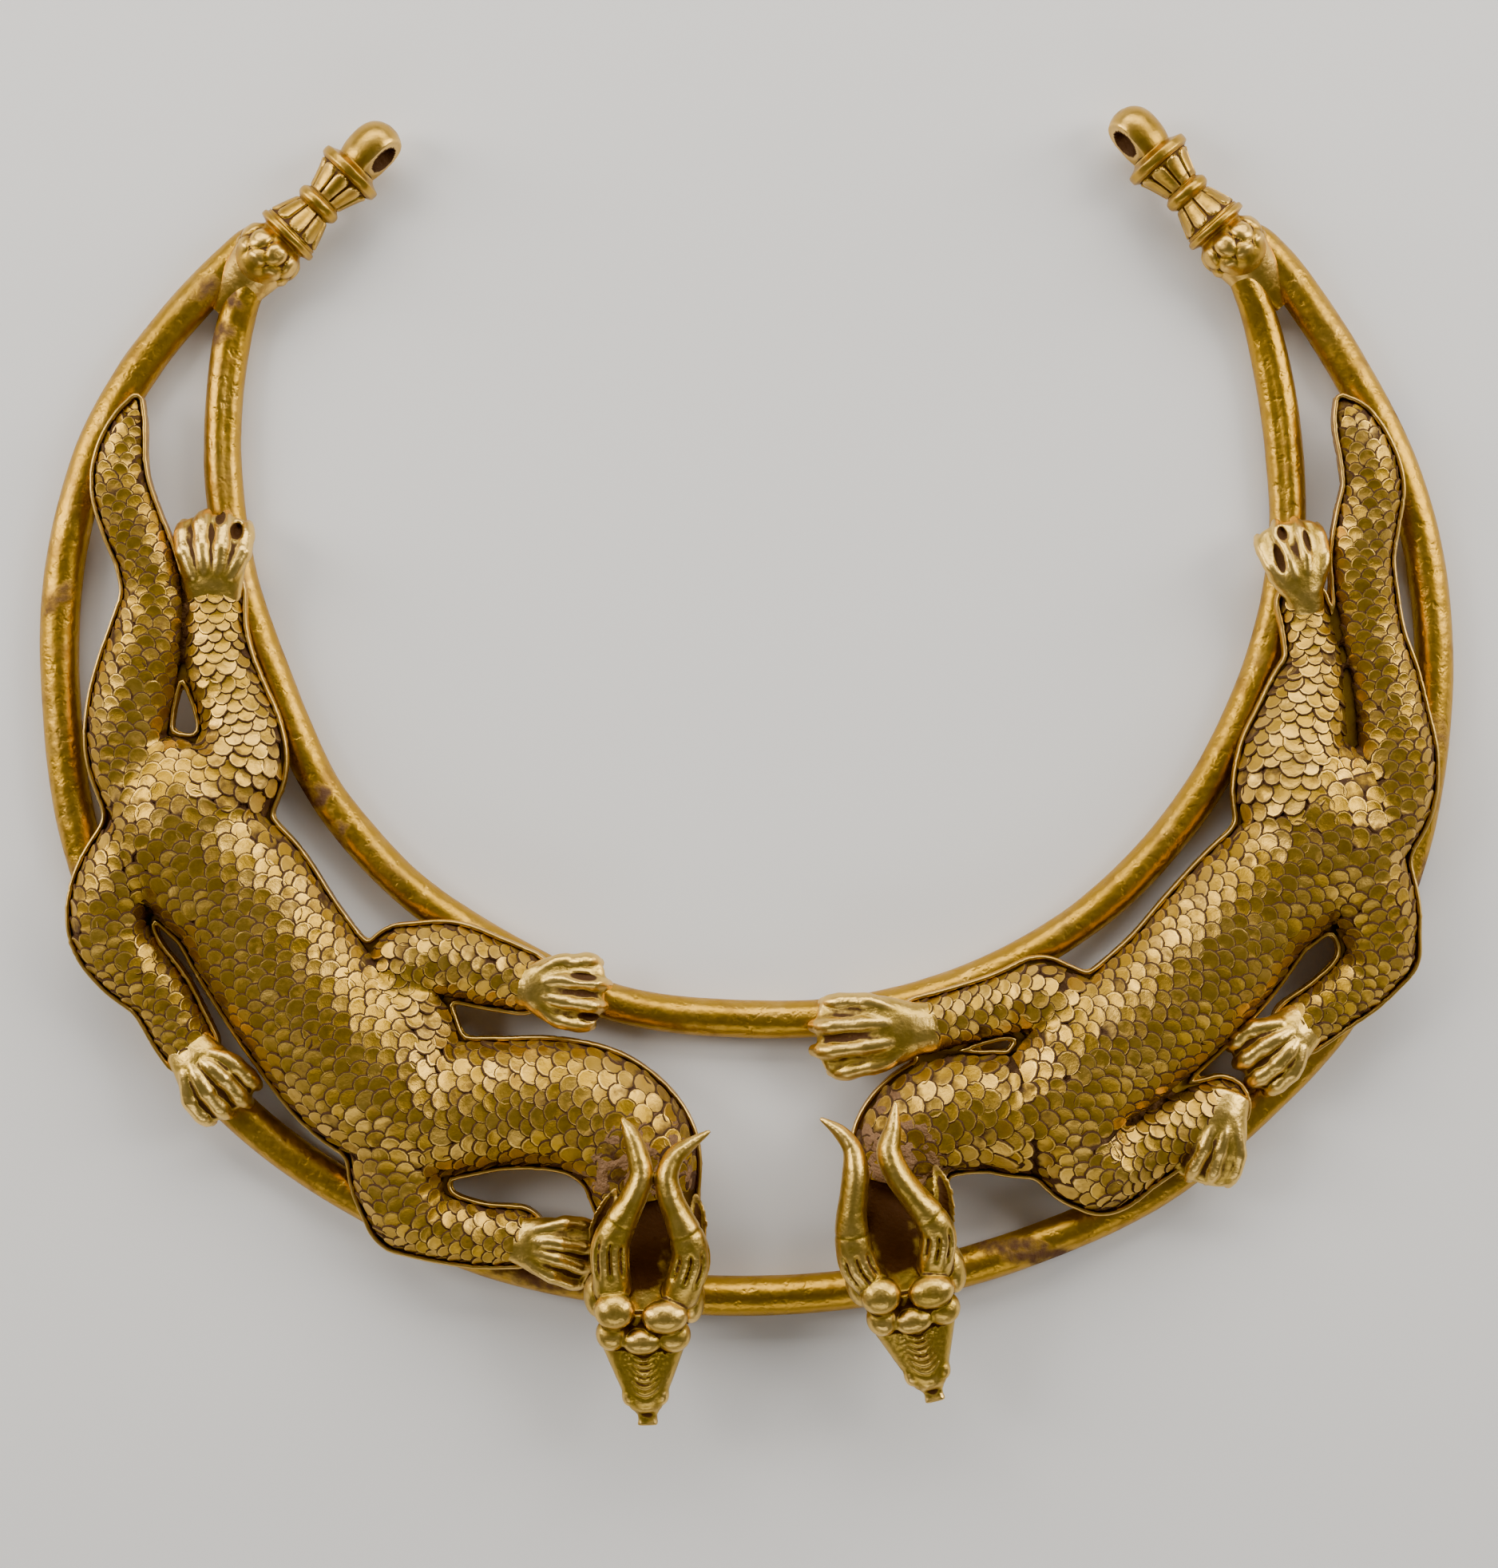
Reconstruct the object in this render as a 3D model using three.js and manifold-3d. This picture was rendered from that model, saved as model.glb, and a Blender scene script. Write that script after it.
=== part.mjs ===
// A gold torc that lies face up: two hand-bent tubes joined at two fluted ends, with two scaled
// dragons soldered across them. Each dragon is a domed shell in a rimmed tray, with a cast head
// and four cast paws that grip the tubes. Millimetres, +Z up, the ends of the torc towards +Y.
import * as THREE from "three";
import { mergeVertices } from "three/addons/utils/BufferGeometryUtils.js";
import Module from "manifold-3d";

const wasm = await Module();
wasm.setup();

// Driving dimensions.
const TORC_WIDTH = 202;
const EYE_HEIGHT = 512;
const OUTER_TUBE_DIAMETER = 5.6;
const INNER_TUBE_DIAMETER = 5.4;
const TUBE_SIDES = 8;
const TUBE_END_TAPER = 0.24;
const TUBE_RISE_SPAN = 0.07;
const UNDERSIDE_FLAT = 0.15;
const SOLDER_GAP = 0.3;
const PLATE_THICKNESS = 0.8;
const RIM_HEIGHT = 1.5;
const RIM_THICKNESS = 0.6;
const RIM_GAP = 0.45;
const TRUNK_RELIEF = 0.78;
const LIMB_RELIEF = 0.9;
const NECK_LIFT = 2.6;
const STEPS_PER_POINT = 0.55;
const HEAD_LENGTH = 32;
const HEAD_CLEARANCE = 0.6;
const HORN_RELIEF = 0.9;
const HORN_SIDES = 5;
const SNOUT_RIDGES = 4;
const SNOUT_START = 18;
const SNOUT_SPAN = 19;
const SNOUT_HALF = 17.2;
const SNOUT_HIGH = 11.5;
const EYE_RADIUS = 8.6;
const FINGERS = 4;
const FLUTES = 8;
const FLUTE_DEPTH = 0.35;
const CALYX_RADIUS = 5.2;
const FLANGE_RADIUS = 4.6;
const CUP_NECK_RADIUS = 2.7;
const RING_RADIUS = 3.3;
const KNOB_RADIUS = 3.5;
const SOCKET_RADIUS = 1.6;
const SOCKET_DEPTH = 2.2;
const SOCKET_FACE_INSET = 1.1;
const SOCKET_ROLL = 14;

// Levels that follow from them.
const SHARE = TORC_WIDTH / 100;
const FACET_REACH = Math.cos(Math.PI / TUBE_SIDES);
const TRAY_BASE = Math.max(OUTER_TUBE_DIAMETER, INNER_TUBE_DIAMETER) + SOLDER_GAP;
const PLATE_TOP = TRAY_BASE + PLATE_THICKNESS;
const BODY_BASE = PLATE_TOP + SOLDER_GAP / 2;
const PAW_HEIGHT = PLATE_TOP + 1.3;
const RIM_TOP = PLATE_TOP + RIM_HEIGHT;
const TRAY_MARGIN = RIM_GAP + RIM_THICKNESS;
const FAR = 60;

// Poses are drawn in percent of the torc's width, from the middle of the torc, as an eye above it
// sees them: a tube's middle line as [x, y], and a limb as [x, y, half width], from its far end
// towards the body.
const OUTER_LINE = [
  [-35.7, 36.7], [-40.3, 31.8], [-43.8, 27.1], [-46.7, 21.2], [-48.5, 13.5], [-48.7, 5], [-47.4, -4.9],
  [-43.6, -14.6], [-37.6, -23.1], [-29.7, -29.5], [-18.9, -34.9], [-7.5, -37.4], [2.6, -37.8],
  [12.4, -36.6], [21.2, -34], [29.4, -30.1], [36.9, -23.9], [43.1, -16.6], [47.5, -5.8], [49.1, 5],
  [48.6, 14.1], [46.5, 21.5], [43.1, 28.2], [39.7, 33.5], [37, 36.9],
];
const INNER_LINE = [
  [-34.5, 35.2], [-36.1, 32], [-37, 26.6], [-37.1, 20.3], [-36, 13.2], [-33.8, 6.8], [-30.7, -0.5],
  [-27.4, -5.2], [-22.9, -9.6], [-16.7, -13.5], [-9.1, -17], [-0.5, -18.1], [8.4, -17.7],
  [17.3, -15], [25.6, -9.9], [32.3, -2.4], [36.6, 6.2], [38.6, 14.7], [38.4, 23.2], [37, 30.9],
  [35.2, 35.6],
];
const LEFT_DRAGON = {
  trunk: [
    [-40.7, -1.5, 3.4], [-40.2, -4.4, 5], [-38.1, -7.2, 5.2], [-35.9, -9.5, 5.2], [-33.6, -13.2, 5.3],
    [-30.2, -18, 5.5], [-26.7, -22, 5.6], [-22.8, -24.4, 4.9], [-17.7, -24.2, 4.4], [-13.7, -24.2, 4.4],
    [-10.3, -25.1, 4.4], [-7.8, -27.4, 4.2], [-7, -30.8, 3.5],
  ],
  limbs: [
    // tail
    [
      [-43.4, 25.9, 0.2], [-44, 24.1, 1], [-44.5, 22, 1.5], [-44.5, 19.8, 1.8], [-43.7, 17.2, 1.9],
      [-42.7, 14.7, 1.9], [-42.2, 12.1, 2], [-42.6, 9.3, 2.4], [-43.2, 6.7, 2.7], [-43.8, 3.9, 2.8],
      [-44, 1, 2.7], [-43, -1.8, 2.7], [-40.7, -4.9, 3.1],
    ],
    // inner hind leg
    [
      [-37.8, 12.3, 1.9], [-37.8, 9.6, 2], [-37.5, 7, 2.3], [-36.6, 4.5, 2.4], [-36, 2.3, 2.7],
      [-36.3, -0.2, 3.3], [-38.1, -2.7, 3.7], [-40.2, -4.9, 3.4],
    ],
    // outer hind leg
    [
      [-39.6, -20.1, 1.8], [-40.3, -18.9, 1.9], [-41.8, -16.3, 2], [-44, -14, 2.4], [-45.2, -11.8, 2.7],
      [-45, -9.2, 2.8], [-43.6, -6.6, 2.8], [-41.6, -5.2, 2.8],
    ],
    // inner forearm and upper arm
    [[-15.9, -15.5, 2], [-18.3, -14.8, 2.3], [-21.1, -14, 2.5], [-24.2, -14, 2.3]],
    [[-24.5, -14.6, 2.4], [-24.6, -16.6, 2.6], [-23.9, -19.2, 3.2], [-23.4, -22, 3.4]],
    // outer forearm and upper arm
    [[-16.3, -33.7, 1.9], [-18.9, -33.6, 2], [-21.7, -33, 2.2], [-24, -32.2, 2.4]],
    [[-24.1, -31.4, 2.8], [-24.7, -29.1, 3.2], [-24.4, -26.4, 3.4], [-24, -25.1, 3.4]],
  ],
  // [x, y, heading in degrees, length, width] at the wrist
  paws: {
    inner_hind: [-37.8, 12.6, 90, 5.1, 5.2],
    outer_hind: [-39.2, -20.7, -52, 4.8, 5],
    inner_fore: [-15.6, -15.7, -8, 5.6, 5.3],
    outer_fore: [-15.9, -33.9, -14, 5.4, 4.8],
  },
  head: [-7.4, -38.3, -88],
  // a horn as [along the muzzle, to its left, up, half width], in percent of the head's length
  horns: [
    [
      [-7.6, -11.6, 12, 6.5], [-25.6, -11.7, 17, 6.8], [-37, -7, 20, 6.5], [-47.5, -0.9, 22, 5.8],
      [-57.5, 3.1, 22, 5.2], [-67.3, 1.6, 21, 4.7], [-76.4, -1.3, 20, 3.4], [-81.9, -4.3, 19, 1],
    ],
    [
      [-4.4, 17.8, 12, 6.5], [-18.6, 23, 17, 6.8], [-28.4, 22.2, 20, 6.8], [-38.6, 18.6, 22, 6.1],
      [-47.7, 15.3, 23, 5.6], [-56.7, 14.2, 23, 5], [-64.9, 17.7, 22, 4.3], [-69.7, 23.7, 21, 3.2],
      [-75.2, 32.9, 20, 1],
    ],
  ],
};
const RIGHT_DRAGON = {
  trunk: [
    [41.4, -1.5, 3.4], [41.5, -4.7, 4.8], [39.2, -7.4, 4.8], [36.4, -9.9, 4.7], [34, -12.8, 4.9],
    [31.4, -15.8, 4.9], [28.3, -18.6, 4.9], [24.9, -21.4, 4.8], [20.9, -24.7, 4.3], [17.5, -24.8, 4],
    [14.1, -25.1, 4], [11.7, -26.8, 3.6], [11, -29.7, 3.1],
  ],
  limbs: [
    // tail
    [
      [42.7, 25.9, 0.2], [43.6, 24.3, 1.2], [44.5, 22, 1.7], [44.9, 19.8, 1.9], [44.5, 17.5, 2],
      [44.1, 14.7, 2], [44.4, 11.8, 2], [44.9, 9, 2], [45.7, 6.1, 2.2], [46.2, 3.3, 2.4],
      [46.5, 0.5, 2.7], [46.2, -2.4, 2.8], [44.5, -4.9, 3.1],
    ],
    // inner hind leg
    [
      [39.8, 11.5, 1.5], [40.3, 9.6, 1.6], [40.7, 7.2, 1.9], [40.2, 4.8, 2.6], [39.7, 2.4, 3.2],
      [39.1, 0.1, 3.6], [39.2, -2.7, 3.9], [40.8, -5.2, 3.6],
    ],
    // outer shank and thigh
    [[39.8, -18.6, 1.8], [41.8, -17.2, 1.8], [44, -15.4, 2], [45.5, -13.5, 2.2]],
    [[45.4, -13, 2.4], [44.9, -10.3, 3], [43.8, -7.5, 3.3], [42.5, -5.2, 3.3]],
    // inner fore leg
    [[12.9, -18.7, 1.9], [15.2, -18.1, 1.9], [18.1, -17.3, 2], [20.9, -16.6, 2.4]],
    [[21.4, -16.8, 2.6], [22.9, -17.9, 2.9], [23.7, -20.6, 3.4]],
    // outer forearm and upper arm
    [[34, -24.3, 1.8], [32.3, -25.2, 2.1], [29.4, -26.9, 2.3], [26.6, -28.6, 2.5]],
    [[25.4, -29, 2.8], [24, -27.6, 3.3], [23.7, -25, 3.5], [23.7, -23.4, 3.5]],
  ],
  paws: {
    inner_hind: [39.9, 11.8, 103, 5.6, 4.9],
    outer_hind: [39.4, -18.9, -140, 4.7, 5],
    inner_fore: [12.5, -18.8, 186, 7.4, 5.8],
    outer_fore: [34.2, -24.4, -108, 5.7, 4.9],
  },
  head: [11.3, -36.9, -76],
  horns: [
    [
      [-4.4, -13.4, 12, 5.8], [-13.4, -16.7, 16, 6.8], [-24.9, -16.8, 19, 6.8], [-34.9, -15, 21, 6.5],
      [-44.7, -11.5, 22, 6.1], [-54, -8.4, 22, 5.8], [-64.1, -7.4, 21, 4.3], [-72.4, -10.9, 20, 3.2],
      [-79.6, -17.2, 19, 1],
    ],
    [
      [-4.8, 14.9, 12, 6.1], [-17.4, 19.5, 17, 6.5], [-27.4, 18, 20, 6.5], [-38.2, 13.2, 22, 6.1],
      [-48.9, 8.9, 23, 5.8], [-59.2, 7.7, 22, 5.4], [-68.6, 11.9, 21, 3.6], [-78.8, 15.6, 20, 1],
    ],
  ],
};
// A fluted end: [x, y, heading in degrees] at its calyx, and the side that its socket faces.
const LEFT_END = { at: [-34.8, 35.5, 45], socketSide: -1 };
const RIGHT_END = { at: [35.7, 36, 131], socketSide: 1 };

// A drawn length in millimetres at a height: what stands nearer the eye is smaller than it looks.
const drawn = (length, height) => length * SHARE * (1 - height / EYE_HEIGHT);

// Cross-sections for a tube, counter-clockwise as [to the side, up].
const round = (sides) =>
  Array.from({ length: sides }, (_, k) => {
    const angle = (2 * Math.PI * (k + 0.5)) / sides + Math.PI / 2;
    return [Math.cos(angle), Math.sin(angle)];
  });
const SLAB = [[1, -1], [1, 1], [-1, 1], [-1, -1]];

// The closed solid through rings of equally many points, each counter-clockwise about the way ahead,
// moved by a matrix.
function loft(rings, matrix = new THREE.Matrix4()) {
  const count = rings[0].length;
  const middle = (ring) =>
    ring.reduce((sum, p) => sum.add(p), new THREE.Vector3()).divideScalar(count);
  const points = [...rings.flat(), middle(rings[0]), middle(rings.at(-1))];
  points.forEach((p) => p.applyMatrix4(matrix));
  const first = points.length - 2;
  const last = points.length - 1;
  const lastRing = (rings.length - 1) * count;
  const faces = [];
  for (let j = 0; j < count; j++) {
    const k = (j + 1) % count;
    faces.push(first, k, j, last, lastRing + j, lastRing + k);
    for (let a = 0; a < lastRing; a += count) {
      const b = a + count;
      faces.push(a + j, a + k, b + k, a + j, b + k, b + j);
    }
  }
  return new wasm.Manifold(
    new wasm.Mesh({
      numProp: 3,
      vertProperties: new Float32Array(points.flatMap((p) => p.toArray())),
      triVerts: new Uint32Array(faces),
    }),
  );
}

// A tube through stations [x, y, z, half width, half height], smooth between them. A round end
// closes over a half width more, and a slab keeps its height to the end.
function tube(stations, { steps, section, startRound = true, endRound = true, matrix }) {
  const path = new THREE.CatmullRomCurve3(stations.map(([x, y, z]) => new THREE.Vector3(x, y, z)));
  const size = new THREE.CatmullRomCurve3(stations.map(([, , , w, h]) => new THREE.Vector3(w, h, 0)));
  const ring = (t, ahead, share) => {
    const centre = path.getPoint(t);
    const along = path.getTangent(t);
    const side = new THREE.Vector3(-along.y, along.x, 0).normalize();
    const up = new THREE.Vector3().crossVectors(along, side);
    const { x: w, y: h } = size.getPoint(t);
    centre.addScaledVector(along, ahead * w);
    const rise = section === SLAB ? h : h * share;
    return section.map(([s, u]) =>
      centre.clone().addScaledVector(side, s * w * share).addScaledVector(up, u * rise),
    );
  };
  const rings = Array.from({ length: steps + 1 }, (_, i) => ring(i / steps, 0, 1));
  if (startRound) rings.unshift(ring(0, -0.75, 0.6));
  if (endRound) rings.push(ring(1, 0.75, 0.6));
  return loft(rings, matrix);
}

// A three.js geometry, moved by a matrix, as a solid.
function solidOf(geometry, matrix = new THREE.Matrix4()) {
  const bare = geometry.clone().applyMatrix4(matrix);
  bare.deleteAttribute("normal");
  bare.deleteAttribute("uv");
  const merged = mergeVertices(bare, 1e-4);
  return new wasm.Manifold(
    new wasm.Mesh({
      numProp: 3,
      vertProperties: merged.attributes.position.array,
      triVerts: new Uint32Array(merged.index.array),
    }),
  );
}

const joined = (solids) => solids.reduce((whole, s) => whole.add(s));
const without = (solid, cutters) => cutters.reduce((rest, c) => rest.subtract(c), solid);
// All the space between two levels, and below one.
const between = (low, high) =>
  solidOf(
    new THREE.BoxGeometry(2 * TORC_WIDTH, 2 * TORC_WIDTH, high - low).translate(0, 0, (low + high) / 2),
  );
const below = (level) => between(level - FAR, level);

// A tube of the torc, which lies on a narrow flat and rises to the middle of the fluted ends.
function hoop(line, diameter, grow = 0) {
  const count = line.length - 1;
  const stations = line.map(([x, y], i) => {
    const toEnd = Math.min(i, count - i) / count;
    const rise = 1 - THREE.MathUtils.smoothstep(toEnd, 0, TUBE_RISE_SPAN);
    const radius = (diameter / 2) * (1 - TUBE_END_TAPER * rise);
    const height = THREE.MathUtils.lerp(radius * FACET_REACH - UNDERSIDE_FLAT, CALYX_RADIUS, rise);
    return [drawn(x, height), drawn(y, height), height, radius + grow, radius + grow];
  });
  const cutEnds = { startRound: false, endRound: false };
  return without(tube(stations, { steps: count, section: round(TUBE_SIDES), ...cutEnds }), [below(0)]);
}

// A limb or trunk as an oval tube on the plate, wider by grow, and the slab that it covers.
const stepsAlong = (points) => Math.ceil(STEPS_PER_POINT * points.length);
const onPlate = (points, stationOf) =>
  points.map(([x, y, w], i) => [
    drawn(x, RIM_TOP), drawn(y, RIM_TOP), ...stationOf(drawn(w, RIM_TOP), i),
  ]);
const limb = (points, relief, lift, grow, sides) =>
  tube(
    onPlate(points, (w, i) => [BODY_BASE + lift(i), w + grow, w * relief + grow]),
    { steps: stepsAlong(points), section: round(sides) },
  );
const slab = (points, grow) =>
  tube(
    onPlate(points, (w) => [RIM_TOP, w + grow, RIM_TOP]),
    { steps: stepsAlong(points), section: SLAB },
  );

// The domed shell of a dragon, flat underneath.
function dragonBody({ trunk, limbs }, grow = 0) {
  const neckRise = (i) => NECK_LIFT * THREE.MathUtils.smoothstep(i / (trunk.length - 1), 0.72, 1);
  const parts = [
    limb(trunk, TRUNK_RELIEF, neckRise, grow, 10),
    ...limbs.map((points) => limb(points, LIMB_RELIEF, () => 0, grow, 8)),
  ];
  return without(joined(parts), [below(BODY_BASE - grow)]);
}

// The outline of a dragon, wider by grow, between two levels.
const outline = ({ trunk, limbs }, grow, low, high) =>
  joined([trunk, ...limbs].map((points) => slab(points, grow))).intersect(between(low, high));

// The sheet tray behind a dragon, with a thin rim that stands up round its outline.
function dragonTray(figure) {
  const block = outline(figure, TRAY_MARGIN, TRAY_BASE, RIM_TOP);
  return block.subtract(outline(figure, RIM_GAP, PLATE_TOP, RIM_TOP + SOLDER_GAP));
}

// The placing of a piece that is built along +X: [x, y, heading in degrees] and a height.
const placing = ([x, y, heading], height) =>
  new THREE.Matrix4()
    .makeTranslation(drawn(x, height), drawn(y, height), height)
    .multiply(new THREE.Matrix4().makeRotationZ(THREE.MathUtils.degToRad(heading)));

// A cast paw, grown by a clearance: a palm on the tube, and fingers that fan out and bend down.
function paw([x, y, heading, length, width], grow = 0) {
  const long = length * SHARE;
  const wide = width * SHARE;
  const thick = 0.12 * wide;
  const matrix = placing([x, y, heading], PAW_HEIGHT);
  const cast = (stations, sides) =>
    tube(
      stations.map(([px, py, pz, w, h]) => [px, py, pz, w + grow, h + grow]),
      { steps: 2, section: round(sides), startRound: false, endRound: false, matrix },
    );
  const palm = cast(
    [
      [-0.1 * long, 0, 0, 0.36 * wide, 0.24 * wide],
      [0.25 * long, 0, 0.3, 0.42 * wide, 0.26 * wide],
      [0.62 * long, 0, 0.2, 0.46 * wide, 0.2 * wide],
    ],
    6,
  );
  const fingers = Array.from({ length: FINGERS }, (_, k) => {
    const spread = (k - (FINGERS - 1) / 2) / FINGERS;
    const reach = (1 - 0.5 * spread * spread) * long;
    return cast(
      [
        [0.3 * long, 0.72 * spread * wide, 0.9, thick, thick],
        [0.66 * reach, 0.88 * spread * wide, 1.1, thick, thick],
        [0.9 * reach, 0.98 * spread * wide, -0.4, 0.85 * thick, 0.85 * thick],
        [reach, 1.02 * spread * wide, -1.8, 0.5 * thick, 0.5 * thick],
      ],
      4,
    );
  });
  return without(joined([palm, ...fingers]), [below(TRAY_BASE - grow)]);
}

// A cast head, built along its muzzle in percent of its length, from the brow.
function dragonHead({ head, horns }) {
  const size = HEAD_LENGTH / 100;
  const middle = RIM_TOP + HEAD_CLEARANCE + 13 * size;
  const matrix = placing(head, middle);
  const shape = (stations, steps, sides) =>
    tube(
      stations.map((s) => s.map((v) => v * size)),
      { steps, section: round(sides), matrix },
    );
  const ball = (x, y, z, r, stretch = 1) => {
    const sphere = new THREE.SphereGeometry(r * size, 6, 3).scale(stretch, 1, 1);
    return solidOf(sphere.translate(x * size, y * size, z * size), matrix);
  };
  const skull = shape(
    [[-46, 0, -1, 19, 12], [-28, 0, 0, 23, 15], [-10, 0, 0, 26, 16], [3, 0, 0, 23, 15], [12, 0, -1, 18, 13]],
    4, 8,
  );
  const muzzle = ridgedMuzzle(size, matrix);
  const brows = [-13, 0, 13].map((side) => ball(11 - Math.abs(side) / 5, side, 10, 8));
  const eyes = [
    ball(-3, -13, 15, EYE_RADIUS),
    ball(3, 11, 15, EYE_RADIUS),
  ];
  const ears = [-1, 1].map((side) =>
    shape(
      [[-22, side * 21, 4, 4, 6], [-36, side * 24, 5, 3.4, 8], [-50, side * 24, 5, 1.2, 4]],
      2, 5,
    ),
  );
  const peg = solidOf(
    new THREE.BoxGeometry(12 * size, 8.5 * size, 8 * size).translate(49 * size, 0, -3 * size),
    matrix,
  );
  const hornTubes = horns.map((stations) =>
    shape(stations.map(([x, y, z, w]) => [x, y, z, w, w * HORN_RELIEF]), 6, HORN_SIDES),
  );
  return joined([skull, muzzle, ...brows, ...eyes, ...ears, peg, ...hornTubes]);
}

// The muzzle narrows in steps: each wrinkle is a ridge that bows forward along the middle.
function ridgedMuzzle(size, matrix) {
  const section = round(8);
  const bow = 4;
  const stations = [[4, 20, 14], [14, 18.5, 12]];
  for (let k = 0; k < SNOUT_RIDGES; k++) {
    const t = k / (SNOUT_RIDGES - 1);
    const x = SNOUT_START + SNOUT_SPAN * t;
    const half = SNOUT_HALF - 6.8 * t;
    const high = SNOUT_HIGH - 3.5 * t;
    stations.push([x, half, high], [x + 1, half + 0.3, high + 1.6]);
  }
  stations.push([41, 9.3, 7], [45.5, 7, 5.5], [48.5, 4, 4]);
  return loft(
    stations.map(([x, w, h]) =>
      section.map(([s, u]) =>
        new THREE.Vector3(x + bow * Math.max(u, 0) ** 2, s * w, u * h - 1).multiplyScalar(size),
      ),
    ),
    matrix,
  );
}

// A fluted end turned about +X: a calyx of leaves, two cups with a ring between, and a knob.
// A station is [along, radius, groove depth, leaf height].
function endProfile(grow) {
  const neck = CUP_NECK_RADIUS;
  return [
    [-0.2, 3.6, 0, 0], [1.6, CALYX_RADIUS - 0.4, 0, 0.4], [4.4, CALYX_RADIUS - 0.8, 0, 0.4],
    [5.7, 3.7, 0, 0], [6.4, FLANGE_RADIUS, 0, 0], [7.3, FLANGE_RADIUS - 0.2, 0, 0],
    [9.5, neck + 0.7, 1, 0], [11.4, neck, 0.4, 0], [12.6, RING_RADIUS, 0, 0], [13.8, neck, 0.4, 0],
    [16, neck + 0.8, 1, 0], [18.3, FLANGE_RADIUS, 0.3, 0], [19.8, FLANGE_RADIUS - 0.3, 0, 0],
    [20.3, KNOB_RADIUS - 0.1, 0, 0], [24.5, KNOB_RADIUS, 0, 0], [27.3, KNOB_RADIUS * 0.55, 0, 0],
  ].map(([x, r, groove, leaf]) => [x, r + grow, groove * FLUTE_DEPTH, leaf]);
}
function flutedEnd({ at, socketSide }, grow = 0) {
  const count = 2 * FLUTES;
  const rings = endProfile(grow).map(([x, r, groove, leaf]) =>
    Array.from({ length: count }, (_, k) => {
      const angle = (2 * Math.PI * k) / count;
      const radius = r + (k % 2 === 0 ? leaf - groove : -leaf);
      return new THREE.Vector3(x, Math.cos(angle) * radius, Math.sin(angle) * radius);
    }),
  );
  const matrix = placing(at, CALYX_RADIUS + 0.3);
  const sockets = grow > 0 ? [] : knobSocket(socketSide, matrix);
  return without(loft(rings, matrix), [...sockets, below(0)]);
}

// What the knob loses on the side that faces the neck: a flat, and a blind socket sunk in it.
function knobSocket(side, matrix) {
  const middle = 23.8;
  const face = KNOB_RADIUS - SOCKET_FACE_INSET;
  const tilt = new THREE.Matrix4().makeRotationX(side * THREE.MathUtils.degToRad(SOCKET_ROLL));
  const roll = matrix.clone().multiply(tilt);
  const flat = new THREE.BoxGeometry(7.2, 4, 12).translate(middle + 0.4, side * (face + 2), 0);
  const hole = new THREE.CylinderGeometry(SOCKET_RADIUS, SOCKET_RADIUS, 2 * SOCKET_DEPTH, 12);
  return [solidOf(flat, roll), solidOf(hole.translate(middle, side * face, 0), roll)];
}

const GOLD = { color: 0xc9a24a, metalness: 1, roughness: 0.34 };
const PALE_GOLD = { color: 0xb9a552, metalness: 1, roughness: 0.38 };
const torc = new THREE.Group();

function place(name, solid, look) {
  const { vertProperties, triVerts } = solid.getMesh();
  const geometry = new THREE.BufferGeometry();
  geometry.setAttribute("position", new THREE.BufferAttribute(vertProperties, 3));
  geometry.setIndex(new THREE.BufferAttribute(triVerts, 1));
  geometry.computeVertexNormals();
  const mesh = new THREE.Mesh(geometry, new THREE.MeshStandardMaterial(look));
  mesh.name = name;
  torc.add(mesh);
}

const ends = { left: LEFT_END, right: RIGHT_END };
const dragons = { left: LEFT_DRAGON, right: RIGHT_DRAGON };
const endClearance = Object.values(ends).map((end) => flutedEnd(end, SOLDER_GAP));
const outerClearance = hoop(OUTER_LINE, OUTER_TUBE_DIAMETER, SOLDER_GAP);

place("outer_hoop", without(hoop(OUTER_LINE, OUTER_TUBE_DIAMETER), endClearance), GOLD);
place(
  "inner_hoop",
  without(hoop(INNER_LINE, INNER_TUBE_DIAMETER), [...endClearance, outerClearance]),
  GOLD,
);
for (const [side, end] of Object.entries(ends)) place(`${side}_terminal`, flutedEnd(end), GOLD);

for (const [side, figure] of Object.entries(dragons)) {
  const bodyClearance = dragonBody(figure, SOLDER_GAP);
  const pawClearance = Object.values(figure.paws).map((spec) => paw(spec, 2 * SOLDER_GAP));
  place(`${side}_dragon_body`, dragonBody(figure), GOLD);
  place(`${side}_dragon_tray`, without(dragonTray(figure), pawClearance), GOLD);
  place(
    `${side}_dragon_head`,
    without(dragonHead(figure), [bodyClearance, below(RIM_TOP + SOLDER_GAP), ...pawClearance]),
    PALE_GOLD,
  );
  for (const [leg, spec] of Object.entries(figure.paws)) {
    place(`${side}_${leg}_paw`, without(paw(spec), [bodyClearance]), PALE_GOLD);
  }
}

export default torc;
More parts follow.
